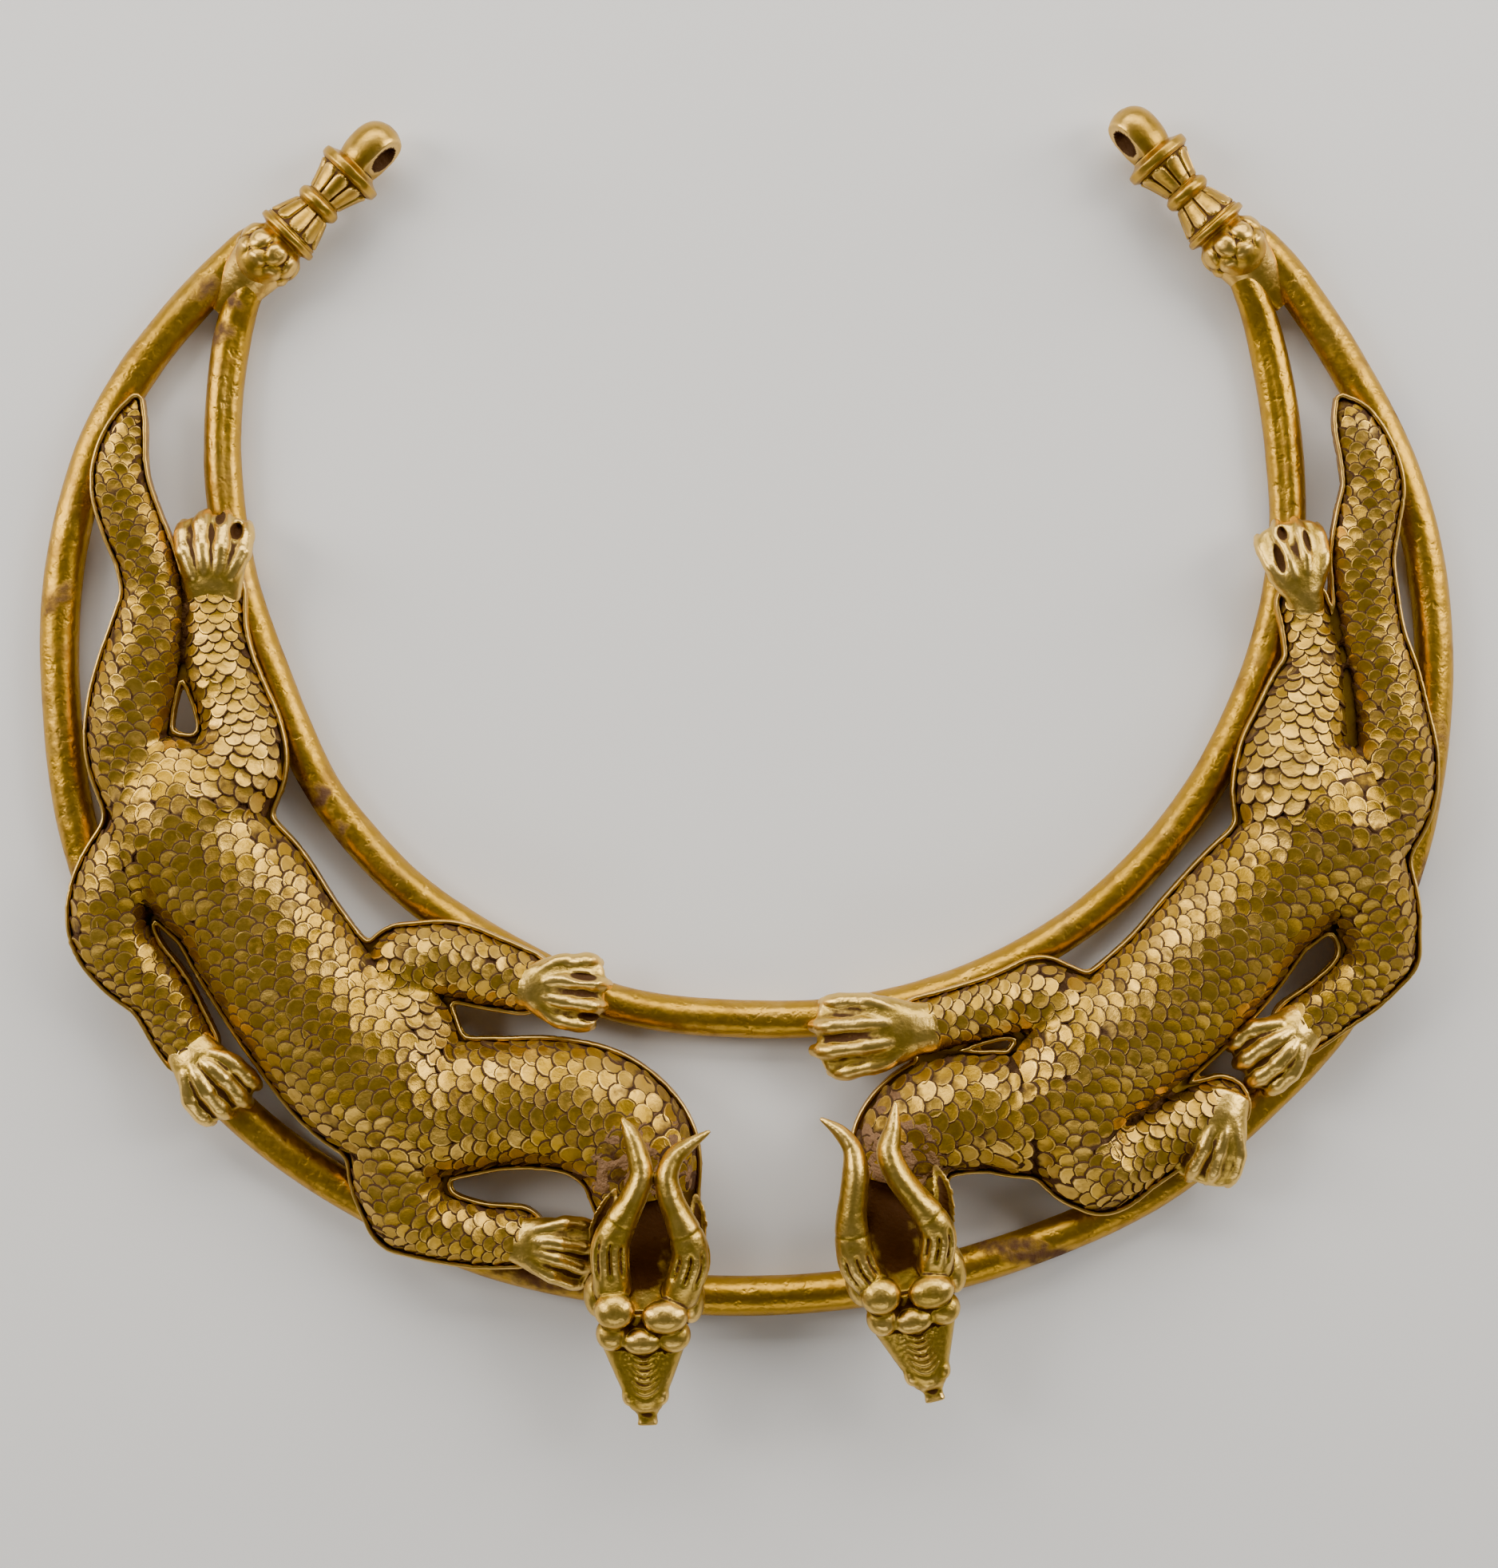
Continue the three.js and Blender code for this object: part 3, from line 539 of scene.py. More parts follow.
RIGHT_DRAGON = {
    "trunk": [
        [41.4, -1.5, 3.4], [41.5, -4.7, 4.8], [39.2, -7.4, 4.8], [36.4, -9.9, 4.7], [34, -12.8, 4.9],
        [31.4, -15.8, 4.9], [28.3, -18.6, 4.9], [24.9, -21.4, 4.8], [20.9, -24.7, 4.3], [17.5, -24.8, 4],
        [14.1, -25.1, 4], [11.7, -26.8, 3.6], [11, -29.7, 3.1],
    ],
    "tail": [
        [42.7, 25.9, 0.2], [43.6, 24.3, 1.2], [44.5, 22, 1.7], [44.9, 19.8, 1.9], [44.5, 17.5, 2],
        [44.1, 14.7, 2], [44.4, 11.8, 2], [44.9, 9, 2], [45.7, 6.1, 2.2], [46.2, 3.3, 2.4],
        [46.5, 0.5, 2.7], [46.2, -2.4, 2.8], [44.5, -4.9, 3.1],
    ],
    "legs": [
        [
            [39.8, 11.5, 1.5], [40.3, 9.6, 1.6], [40.7, 7.2, 1.9], [40.2, 4.8, 2.6], [39.7, 2.4, 3.2],
            [39.1, 0.1, 3.6], [39.2, -2.7, 3.9], [40.8, -5.2, 3.6],
        ],
        [[39.8, -18.6, 1.8], [41.8, -17.2, 1.8], [44, -15.4, 2], [45.5, -13.5, 2.2]],
        [[45.4, -13, 2.4], [44.9, -10.3, 3], [43.8, -7.5, 3.3], [42.5, -5.2, 3.3]],
        [[12.9, -18.7, 1.9], [15.2, -18.1, 1.9], [18.1, -17.3, 2], [20.9, -16.6, 2.4]],
        [[21.4, -16.8, 2.6], [22.9, -17.9, 2.9], [23.7, -20.6, 3.4]],
        [[34, -24.3, 1.8], [32.3, -25.2, 2.1], [29.4, -26.9, 2.3], [26.6, -28.6, 2.5]],
        [[25.4, -29, 2.8], [24, -27.6, 3.3], [23.7, -25, 3.5], [23.7, -23.4, 3.5]],
    ],
    "paws": {
        "inner_hind": [39.9, 11.8, 103, 5.6, 4.9, 0.082, 0.28],
        "outer_hind": [39.4, -18.9, -140, 4.7, 5, 0.12, 0.37],
        "inner_fore": [12.5, -18.8, 186, 7.4, 5.8, 0.095, 0.33],
        "outer_fore": [34.2, -24.4, -108, 5.7, 4.9, 0.095, 0.36],
    },
    "head": [11.3, -36.9, -76],
    "horns": [
        [
            [-4.4, -13.4, 12, 5.8], [-13.4, -16.7, 16, 6.8], [-24.9, -16.8, 19, 6.8],
            [-34.9, -15, 21, 6.5], [-44.7, -11.5, 22, 6.1], [-54, -8.4, 22, 5.8], [-64.1, -7.4, 21, 4.3],
            [-72.4, -10.9, 20, 3.2], [-79.6, -17.2, 19, 1],
        ],
        [
            [-4.8, 14.9, 12, 6.1], [-17.4, 19.5, 17, 6.5], [-27.4, 18, 20, 6.5], [-38.2, 13.2, 22, 6.1],
            [-48.9, 8.9, 23, 5.8], [-59.2, 7.7, 22, 5.4], [-68.6, 11.9, 21, 3.6], [-78.8, 15.6, 20, 1],
        ],
    ],
}
DRAGONS = {"left": LEFT_DRAGON, "right": RIGHT_DRAGON}

# The trays: each dragon lies in a tray of gold sheet that follows its outline, with a thin strip of
# sheet soldered upright round the edge. The strip was bent by hand and its top edge is worn round.
PLATE_TOP = 6.7
PLATE_THICKNESS = 0.8
RIM_TOP = 8.2
RIM_THICKNESS = 0.6
RIM_GAP = 0.2
TRAY_GRID = 0.5
SHORTEST_EDGE = 0.12
ROUND_CORNER = 0.6
OUTLINE_MARGIN = 16
PLATE_EDGE = 0.1
STRIP_FOOT = 0.2
NECK_LIFT = 2.6
NECK_START = 0.72
TRUNK_DOME = 0.78
LIMB_DOME = 0.9
THINNEST_HALF = 0.2
COURSE_STEPS = 90
CAP_BENDS = np.radians([84, 70, 55, 38, 20])


def limb_course(points, lifted=False):
    """A limb in millimetres at even steps: its arc, x, y, half width, lift and heading. At each end the
    line runs on for a half width, and the half width falls as a circle does. A trunk's last quarter
    lifts smoothly by the neck's rise, and it stops short under the head."""
    x, y, half = drawn(smooth_line(points, COURSE_STEPS), RIM_TOP).T
    half = np.maximum(half, THINNEST_HALF)
    t = np.linspace(0, 1, COURSE_STEPS)
    lift = NECK_LIFT * lifted * eased((t - NECK_START) / (1 - NECK_START))
    hx, hy = np.gradient(x), np.gradient(y)
    long = np.hypot(hx, hy)
    course = np.array([x, y, half, lift, hx / long, hy / long])
    caps = []
    for end, way in ((0, -1), (-1, 1)):
        cap = np.repeat(course[:, end, None], len(CAP_BENDS), 1)
        cap[:2] += way * cap[4:] * cap[2] * np.sin(CAP_BENDS)
        cap[2] *= np.cos(CAP_BENDS)
        caps.append(cap)
    course = np.hstack([caps[0], course] + [caps[1][:, ::-1]] * (not lifted))
    arc = np.concatenate([[0], np.cumsum(np.hypot(*np.diff(course[:2])))])
    return np.vstack([arc, course])


def core(limb):
    """A limb's course without its rounded ends, as discs along it reach just as far. A neck, which is the
    course that lifts, has none at the head."""
    course, caps = limb[0], len(CAP_BENDS)
    return course[:, caps:] if course[4].any() else course[:, caps:-caps]


def figure_limbs(figure):
    """The trunk first, then the tail and the legs, each with how high its dome is for its half width."""
    limbs = [(limb_course(figure["trunk"], True), TRUNK_DOME)]
    return limbs + [(limb_course(part), LIMB_DOME) for part in [figure["tail"], *figure["legs"]]]


def soft_max(values, width):
    """The highest of rows of values, rounded over where two are close: a width times the logarithm of
    the sum of the exponentials of the values over the width."""
    top = values.max(0)
    return top + width * np.log(np.exp((values - top) / width).sum(0))


def apart(limbs, x, y):
    """The distance from each place to the nearest limb's outline, less than zero inside it: the soft
    minimum over the limbs, so that the corners between them are round."""
    gaps = [(np.hypot(x[:, None] - c[1], y[:, None] - c[2]) - c[3]).min(1) for c in map(core, limbs)]
    return -soft_max(-np.array(gaps), ROUND_CORNER)


def outline_curve(name, limbs, distance):
    """The line at a distance outside the limbs, as a flat curve: where a sheet whose height is the
    distance to the limbs is cut by a level plane."""
    reach = np.hstack([c[1:3] for c, _ in limbs])
    low, high = reach.min(1) - OUTLINE_MARGIN, reach.max(1) + OUTLINE_MARGIN
    xs, ys = (np.arange(a, b, TRAY_GRID) for a, b in zip(low, high))
    gx, gy = (part.ravel() for part in np.meshgrid(xs, ys))
    points = np.stack([gx, gy, apart(limbs, gx, gy) - distance], 1)
    index = np.arange(len(gx)).reshape(len(ys), len(xs))
    quads = np.stack([index[:-1, :-1], index[:-1, 1:], index[1:, 1:], index[1:, :-1]], -1).reshape(-1, 4)
    near = np.abs(points[quads, 2]).min(1) < 2 * TRAY_GRID
    piece = mesh_object(name, points, quads[near].tolist())
    work = bmesh.new()
    work.from_mesh(piece.data)
    everything = list(work.verts) + list(work.edges) + list(work.faces)
    cut = bmesh.ops.bisect_plane(work, geom=everything, plane_co=(0, 0, 0), plane_no=(0, 0, 1))
    line = {item for item in cut["geom_cut"] if isinstance(item, bmesh.types.BMEdge)}
    bmesh.ops.delete(work, geom=[e for e in work.edges if e not in line], context="EDGES_FACES")
    bmesh.ops.remove_doubles(work, verts=work.verts, dist=SHORTEST_EDGE)
    bmesh.ops.scale(work, vec=(0.001, 0.001, 0), verts=work.verts)
    work.to_mesh(piece.data)
    work.free()
    bpy.context.view_layer.objects.active = piece
    bpy.ops.object.select_all(action="DESELECT")
    piece.select_set(True)
    bpy.ops.object.convert(target="CURVE")
    return piece


def as_shell(piece, rise):
    """The points of a working piece in millimetres, lifted by a rise, and its faces. It is removed."""
    graph = bpy.context.evaluated_depsgraph_get()
    shape = bpy.data.meshes.new_from_object(piece.evaluated_get(graph))
    work = bmesh.new()
    work.from_mesh(shape)
    bmesh.ops.remove_doubles(work, verts=work.verts, dist=1e-6)
    bmesh.ops.recalc_face_normals(work, faces=work.faces)
    work.to_mesh(shape)
    work.free()
    points = np.empty(3 * len(shape.vertices))
    shape.vertices.foreach_get("co", points)
    faces = [list(face.vertices) for face in shape.polygons]
    bpy.data.objects.remove(piece)
    return points.reshape(-1, 3) * 1000 + [0, 0, rise], faces


def edged(name, limbs, distance, fill, tall, edge, steps, middle):
    """A sheet cut to the outline, or with fill "NONE" a strip along it: so tall, with its edges rounded
    to a radius in steps, and its middle at a height."""
    curve = outline_curve(name, limbs, distance)
    curve.data.dimensions = "2D"
    curve.data.fill_mode = fill
    curve.data.extrude = (tall / 2 - edge) / 1000
    curve.data.bevel_depth = edge / 1000
    curve.data.bevel_resolution = steps
    return as_shell(curve, middle)


def tray(name, limbs):
    """A plate filled in inside the outline, and a strip with a rounded top along its edge."""
    tall = RIM_TOP - PLATE_TOP + STRIP_FOOT
    plate = edged(
        name + "_plate", limbs, RIM_GAP + RIM_THICKNESS - PLATE_EDGE, "BOTH",
        PLATE_THICKNESS, PLATE_EDGE, 1, PLATE_TOP - PLATE_THICKNESS / 2,
    )
    strip = edged(
        name + "_strip", limbs, RIM_GAP + RIM_THICKNESS / 2, "NONE",
        tall, RIM_THICKNESS / 2, 2, RIM_TOP - tall / 2,
    )
    return together([plate, strip])


sheet_gold = gold(
    "sheet_gold", (0.46, 0.26, 0.04, 1), TUBE_PALE, EARTH, 0.3,
    lambda place: place.mottle(2) * 0.1 + place.mottle(0.4, 2) * 0.03,
)
LIMBS = {side: figure_limbs(figure) for side, figure in DRAGONS.items()}
for side, limbs in LIMBS.items():
    shell = tray(f"{side}_tray", limbs)
    # A painted highlight runs along the strip's top edge, and the plate inside the outline is darker.
    inside = apart(limbs, shell[0][:, 0], shell[0][:, 1]) < RIM_GAP
    finish(
        f"{side}_rimmed_tray", shell, sheet_gold, [f"{side}_dragon_tray"], "scale_gold",
        dirt=0.75 * inside, polish=0.6 * (shell[0][:, 2] > RIM_TOP - 0.35),
    )

# The bodies: each dragon is a domed shell of sheet gold, raised from behind over pitch and chased
# with overlapping round scales, which stand up a little at their free edges. Earth fills the gaps, and
# the skin between the scales is also painted dark as their shade.
BODY_BASE = 6.85
BODY_VOXEL = 0.78
BODY_INSET = 0.985
BODY_EDGE = 1.2
SKIN_UNDER_SCALES = 0.12
EARTH_BACK = 14
EARTH_REACH = 12
SOFT_JOIN = 1.0
SCALE_PITCH = 2.55
SMALLEST_PITCH = 1.9
SCALE_SPREAD = 0.68
ROW_STEP = 0.8
SCALE_RISE = 0.36
SCALE_SIDES = 12
SCALE_RINGS = (0.72, 0.82, 0.90, 1.0, 1.0)
SCALE_LIPS = (0.0, 0.05, 0.02, -0.09, -0.36)
STEEPEST = np.radians(80)
# each lattice's step, and how near places may be taken, in pitches
LATTICES = ((1, 0.62), (0.3, 0.78))
SPREADING_ROUNDS = 20
OUTERMOST_TURN = 1.54


def rises(limbs, x, y):
    """How high each limb's own dome is over each place: the highest half ellipsoid strung along it."""
    heights = []
    for limb in limbs:
        course = core(limb)
        room = course[3] ** 2 - (x[:, None] - course[1]) ** 2 - (y[:, None] - course[2]) ** 2
        heights.append((course[4] + limb[1] * np.sign(room) * np.sqrt(np.abs(room))).max(1))
    return np.array(heights)


def dome(limbs, x, y):
    """The height of a dragon's skin over its base: the soft maximum of its limbs' domes."""
    return soft_max(rises(limbs, x, y), SOFT_JOIN)


def rod(path, across, rise, around, shape=None, blunt=1):
    """A closed rod along a path: an oval ring at each row, scaled by shape(t, angle), and half an
    ellipsoid over each end, as long as its half width times blunt."""
    angle = once_round(around)
    swell = shape(np.linspace(0, 1, len(path))[:, None], angle) if shape else 1
    across_rings = across[:, None] * swell * np.cos(angle)
    rings = ring_about(path, across_rings, rise[:, None] * swell * np.sin(angle))
    ahead = frame_along(path)[0]
    bend = np.radians([86, 70, 52, 35, 17])[:, None, None]
    caps = []
    for end, way in ((0, -1), (-1, 1)):
        out = path[end, :3] + way * ahead[end] * across[end] * blunt * np.sin(bend)
        caps.append(out + (rings[end] - path[end, :3]) * np.cos(bend))
    return skin(np.concatenate([caps[0], rings, caps[1][::-1]]))


def fused(name, shells, voxel, rounds):
    """One closed skin round overlapping shells, remade from cubes of a size in millimetres and relaxed."""
    points, faces = together(shells)
    piece = mesh_object(name, points / 1000, faces)
    cubes = piece.modifiers.new("cubes", "REMESH")
    cubes.mode = "VOXEL"
    cubes.voxel_size = voxel / 1000
    relax = piece.modifiers.new("relax", "SMOOTH")
    relax.factor = 0.5
    relax.iterations = rounds
    return as_shell(piece, 0)


def rough_earth(x, y, seed):
    """Lumps from about -1 to 1: a sum of sines in random directions, 1 to 5 mm from crest to crest."""
    dice = np.random.default_rng(seed)
    turn = dice.uniform(0, 2 * np.pi, 40)
    length = dice.uniform(1, 5, 40)
    phase = dice.uniform(0, 2 * np.pi, 40)
    waves = (np.outer(x, np.cos(turn)) + np.outer(y, np.sin(turn))) * 2 * np.pi / length + phase
    return np.sin(waves).sum(1) / 7


def soiled(x, y, neck):
    """How much earth still sticks to places: 1 on the neck behind the head, falling away from it."""
    return np.exp(-((np.hypot(x - neck[0], y - neck[1]) / EARTH_REACH) ** 4))


def body_skin(name, limbs, neck):
    """The domed shell under the scales: the limbs fused, raised to the dome and flat underneath, with
    earth caked on it by the head."""
    shells = []
    angle = once_round(24)
    for course, domed in limbs:
        path = np.stack([course[1], course[2], BODY_BASE + course[4]], 1)
        half = BODY_INSET * course[3][:, None]
        shells.append(skin(ring_about(path, half * np.cos(angle), half * np.sin(angle) * domed)))
    points, faces = fused(name, shells, BODY_VOXEL, 3)
    x, y, z = points.T
    soil = soiled(x, y, neck)
    cake = soil * np.clip(0.3 + 0.5 * rough_earth(x, y, 5), 0, 0.8)
    raised = np.maximum(z, BODY_BASE + dome(limbs, x, y) - SKIN_UNDER_SCALES + cake)
    points[:, 2] = np.maximum(np.where(z > BODY_BASE + BODY_EDGE, raised, z), BODY_BASE - 0.05)
    return (points, faces), soil


def on_skin(limbs, limb, arc, turn):
    """Places on the skin, for a limb's number, how far along it and how far round it: beside the limb's
    middle line by its half width times the sine of the turn, at the dome's height."""
    spots = [[np.interp(arc, course[0], column) for column in course[1:]] for course, _ in limbs]
    x, y, half, _, hx, hy = np.take_along_axis(np.array(spots), limb[None, None], 0)[0]
    aside = half * np.sin(turn)
    px, py = x - hy * aside, y + hx * aside
    return np.stack([px, py, BODY_BASE + dome(limbs, px, py)], -1)


def skin_frame(limbs, limb, arc, turn):
    """The place of each spot, and how it moves with the arc and with the turn, by small steps of both."""
    along = (on_skin(limbs, limb, arc + 0.2, turn) - on_skin(limbs, limb, arc - 0.2, turn)) / 0.4
    aside = (on_skin(limbs, limb, arc, turn + 0.02) - on_skin(limbs, limb, arc, turn - 0.02)) / 0.04
    return on_skin(limbs, limb, arc, turn), along, aside


def crowding(place, along, pitch):
    """How far neighbours nearer than a pitch push each spot away. Along the limb they may stand nearer,
    so that scales overlap from row to row."""
    ahead = along / np.linalg.norm(along, axis=1)[:, None]
    apart_by = place[:, None] - place[None]
    forth = (apart_by * ahead[:, None]).sum(2, keepdims=True)
    apart_by = apart_by + forth * ahead[:, None] * (1 / ROW_STEP - 1)
    far = np.linalg.norm(apart_by, axis=-1) + 1e9 * np.eye(len(place))
    reach = (pitch[:, None] + pitch[None]) / 2
    push = np.clip(1 - far / reach, 0, 1) / far * reach
    return (apart_by * push[..., None]).sum(1)


def pitch_at(limbs, limb, arc):
    """How far apart scales sit at places on limbs: smaller where the limb is thin."""
    halves = np.array([np.interp(arc, c[0], c[3]) for c, _ in limbs])
    return np.clip(1.6 + 0.13 * halves[limb, np.arange(len(limb))], SMALLEST_PITCH, SCALE_PITCH)


def lattice(limbs, share, dice):
    """Places in rows along each limb and lanes round it, a share of the pitch apart, each second row
    moved by half a lane."""
    limb, arc, turn = [], [], []
    for k, (course, _) in enumerate(limbs):
        s = 0.3
        row = 0
        while s < course[0][-1] - 0.2:
            pitch = pitch_at(limbs, np.array([k]), np.array([s]))[0] * share
            count = max(int(round(2.6 * np.interp(s, course[0], course[3]) / pitch)), 2)
            lanes = (np.arange(count) + 0.25 + 0.5 * (row % 2)) / count
            turn.extend((2 * lanes - 1) * STEEPEST)
            arc.extend([s] * count)
            limb.extend([k] * count)
            s += ROW_STEP * 0.84 * pitch
            row += 1
    arc = np.array(arc) + dice.normal(0, 0.04, len(arc))
    turn = np.array(turn) + dice.normal(0, 0.02, len(turn))
    return np.array(limb), arc, np.clip(turn, -STEEPEST, STEEPEST)


def scale_spots(limbs, dice):
    """Where scales sit: in lattice rows, then at places of a finer lattice where none is near. Then
    neighbours push each other apart until they lie evenly."""
    lists = [lattice(limbs, share, dice) for share, _ in LATTICES]
    limb, arc, turn = (np.concatenate(parts) for parts in zip(*lists))
    nearest = np.repeat([near for _, near in LATTICES], [len(rows[0]) for rows in lists])
    place = on_skin(limbs, limb, arc, turn)
    heights = rises(limbs, place[:, 0], place[:, 1])
    own = heights[limb, np.arange(len(limb))]
    pitch = pitch_at(limbs, limb, arc)
    keep = []
    for i in np.flatnonzero(own > heights.max(0) - 0.05):
        if not keep or ((taken - place[i]) ** 2).sum(1).min() > (nearest[i] * pitch[i]) ** 2:
            keep.append(i)
            taken = place[keep]
    limb, arc, turn, pitch = limb[keep], arc[keep], turn[keep], pitch[keep]
    longest = np.array([c[0][-1] for c, _ in limbs])
    for _ in range(SPREADING_ROUNDS):
        place, along, aside = skin_frame(limbs, limb, arc, turn)
        push = crowding(place, along, pitch * 1.06)
        arc = arc + 0.3 * (push * along).sum(1) / np.maximum((along**2).sum(1), 0.3)
        turn = turn + 0.3 * (push * aside).sum(1) / np.maximum((aside**2).sum(1), 0.3)
        arc = np.clip(arc, 0.2, longest[limb] - 0.2)
        turn = np.clip(turn, -STEEPEST, STEEPEST)
    return limb, arc + dice.normal(0, 0.1, len(arc)), turn + dice.normal(0, 0.015, len(arc)), pitch


def scale_faces(turned, size):
    """The faces of scales of a size in points: a fan in the middle, bands from ring to ring and a fan
    underneath. They are wound the other way on scales that aren't turned."""
    k = np.arange(SCALE_SIDES)
    after = (k + 1) % SCALE_SIDES
    last = size - 1 - SCALE_SIDES
    fan = np.stack([0 * k, 1 + after, 1 + k], 1)
    base = np.stack([0 * k + size - 1, last + k, last + after], 1)
    bands = [
        np.stack([s + k, s + after, s + SCALE_SIDES + after, s + SCALE_SIDES + k], 1)
        for s in range(1, last, SCALE_SIDES)
    ]
    starts = np.arange(len(turned))[:, None, None] * size
    faces = []
    for part in (np.concatenate([fan, base]), np.concatenate(bands)):
        wound = np.where(turned[:, None, None], part, part[:, ::-1]) + starts
        faces += wound.reshape(-1, part.shape[1]).tolist()
    return faces


def scale_coat(limbs, neck, seed):
    """All scales of a dragon: round discs laid on the skin, each low at its root and raised at its free
    edge, with a thin lip, a skirt and a bottom. Free edges point to the tail on the trunk and tail, and
    to the body on the legs."""
    dice = np.random.default_rng(seed)
    limb, arc, turn, pitch = scale_spots(limbs, dice)
    place, along, aside = skin_frame(limbs, limb, arc, turn)
    count = len(limb)
    to_tail = limb < 2
    r = np.concatenate([[0], np.repeat(SCALE_RINGS, SCALE_SIDES), [0]])
    spin = np.concatenate([[0], np.tile(once_round(SCALE_SIDES)[0], len(SCALE_RINGS)), [0]])
    lip = np.concatenate([[0], np.repeat(SCALE_LIPS, SCALE_SIDES), [-0.35]])
    u, v = r * np.sin(spin), r * np.cos(spin)
    tilt = dice.normal(0, 0.06, (2, count, 1))
    rise = SCALE_RISE * (0.5 + 0.5 * v) ** 1.3 - 0.02 + lip + tilt[0] * u + tilt[1] * v
    radius = (SCALE_SPREAD * pitch * dice.normal(1, 0.08, count))[:, None]
    lean = dice.normal(0, 0.2, count)[:, None]
    across = radius * (u * np.cos(lean) + v * np.sin(lean))
    forth = radius * (v * np.cos(lean) - u * np.sin(lean)) * np.where(to_tail, -1, 1)[:, None]
    arcs = arc[:, None] + forth / np.maximum(np.linalg.norm(along, axis=1), 0.5)[:, None]
    turns = turn[:, None] + across / np.maximum(np.linalg.norm(aside, axis=1), 0.3)[:, None]
    turns = np.clip(turns, -OUTERMOST_TURN, OUTERMOST_TURN)
    spots = on_skin(limbs, np.repeat(limb, len(u)), arcs.ravel(), turns.ravel())
    normal = np.cross(along, aside)
    normal *= np.sign(normal[:, 2:]) / np.linalg.norm(normal, axis=1)[:, None]
    spots = spots.reshape(count, len(u), 3) + normal[:, None] * rise[:, :, None]
    # Each scale's marks: a thin ring just inside its free edge is a painted highlight on the rim, and its
    # outer edge and skirt, all round, are painted dark as the shadow line that the free edge casts. Its
    # root, under the neighbour's edge, is darker. Scales on the steep flanks are darker, those near the
    # neck carry earth, and the polish of each scale varies at random.
    root = np.clip(-v * 1.1 - 0.15, 0, 1)
    painted_rim_highlight = np.interp(r, SCALE_RINGS[:3], [0, 1, 0.4]) * (v > -0.3)
    line = np.interp(r, SCALE_RINGS[1:4], [0, 0.5, 1.2])
    low = np.clip((np.abs(turn) - 1.1) * 1.3, 0, 0.5)
    soil = (low + 0.3 * soiled(place[:, 0], place[:, 1], neck) * dice.uniform(0.3, 1.2, count))[:, None]
    dirt = np.clip(0.5 * root + line + soil + dice.normal(0.1, 0.12, count)[:, None], 0, 1.4)
    polish = dice.normal(0.3, 0.16, count)[:, None] + 0.7 * painted_rim_highlight - 0.8 * soil
    shell = spots.reshape(-1, 3), scale_faces(to_tail, len(u))
    return shell, dirt.ravel(), np.clip(polish, 0, 1).ravel()


scale_gold = gold(
    "chased_scales", (0.46, 0.265, 0.018, 1), (0.9, 0.57, 0.13, 1), (0.075, 0.036, 0.018, 1), 0.33,
    lambda place: place.mottle(1.1) * 0.12 + place.mottle(0.3, 2) * 0.03,
)
earth_and_gap_shade = gold(
    "earth_and_gap_shade", (0.22, 0.115, 0.05, 1), (0.36, 0.2, 0.095, 1), (0.06, 0.03, 0.014, 1), 0.5,
    lambda place: place.mottle(0.7, 5) * 1.2, 0.2,
)
for number, (side, limbs) in enumerate(LIMBS.items()):
    x, y, heading = DRAGONS[side]["head"]
    way = np.array([np.cos(np.radians(heading)), np.sin(np.radians(heading))])
    neck = drawn(np.array([x, y]), RIM_TOP) - EARTH_BACK * way
    shell, soil = body_skin(f"{side}_ground", limbs, neck)
    # The skin is painted dark where it shows between the scales, as earth and as their shade, and behind
    # the head it is pale with caked earth.
    finish(
        f"{side}_dragon_ground", shell, earth_and_gap_shade, [f"{side}_dragon_body"], "scale_gold",
        dirt=0.55 - 1.6 * soil, polish=0.6 * soil,
    )
    coat, dirt, polish = scale_coat(limbs, neck, 20 + number)
    finish(
        f"{side}_dragon_scales", coat, scale_gold, [], "scale_gold", crisp=50, dirt=dirt, polish=polish,
    )

# The paws: cast in one piece each, with four thick fingers that curl over the tube, knuckles, and
# deep creases between the fingers. They are soldered to the wrists.
PAW_HEIGHT = 8.0
PAW_VOXEL = 0.24
PAW_LOWEST = PLATE_TOP - PLATE_THICKNESS - PAW_HEIGHT
FINGERS = 4
FINGER_ROWS = 30
KNUCKLES = (0.42, 0.7)
KNUCKLE_LENGTH = 0.07
PAW_BREAKS = {
    # along as a share of the length, aside as a share of the width, half length, half width and depth
    ("left", "inner_hind"): ((0.78, -0.32, 1.1, 0.8, 1.3), (0.96, -0.1, 1.0, 0.7, 1.2)),
    ("right", "inner_hind"): (
        (0.86, 0.11, 1.0, 0.7, 1.3), (0.56, 0.24, 1.9, 0.6, 1.0), (0.7, -0.2, 1.6, 0.5, 0.9),
    ),
    ("left", "inner_fore"): ((0.72, 0.22, 2.0, 0.5, 0.8), (0.86, -0.3, 1.4, 0.6, 0.9)),
}


def broken_in(points, long, wide, breaks):
    """How deep each point is sunk by holes torn in the casting: a hole's depth times e to the minus
    fourth power of how many half lengths and half widths the point is from its middle."""
    sunk = np.zeros(len(points))
    for along, aside, half_long, half_wide, depth in breaks:
        u = (points[:, 0] - along * long) / half_long
        v = (points[:, 1] - aside * wide) / half_wide
        sunk = np.maximum(sunk, depth * bell(u**2 + v**2, 0, 1))
    return sunk * (points[:, 2] > -1)


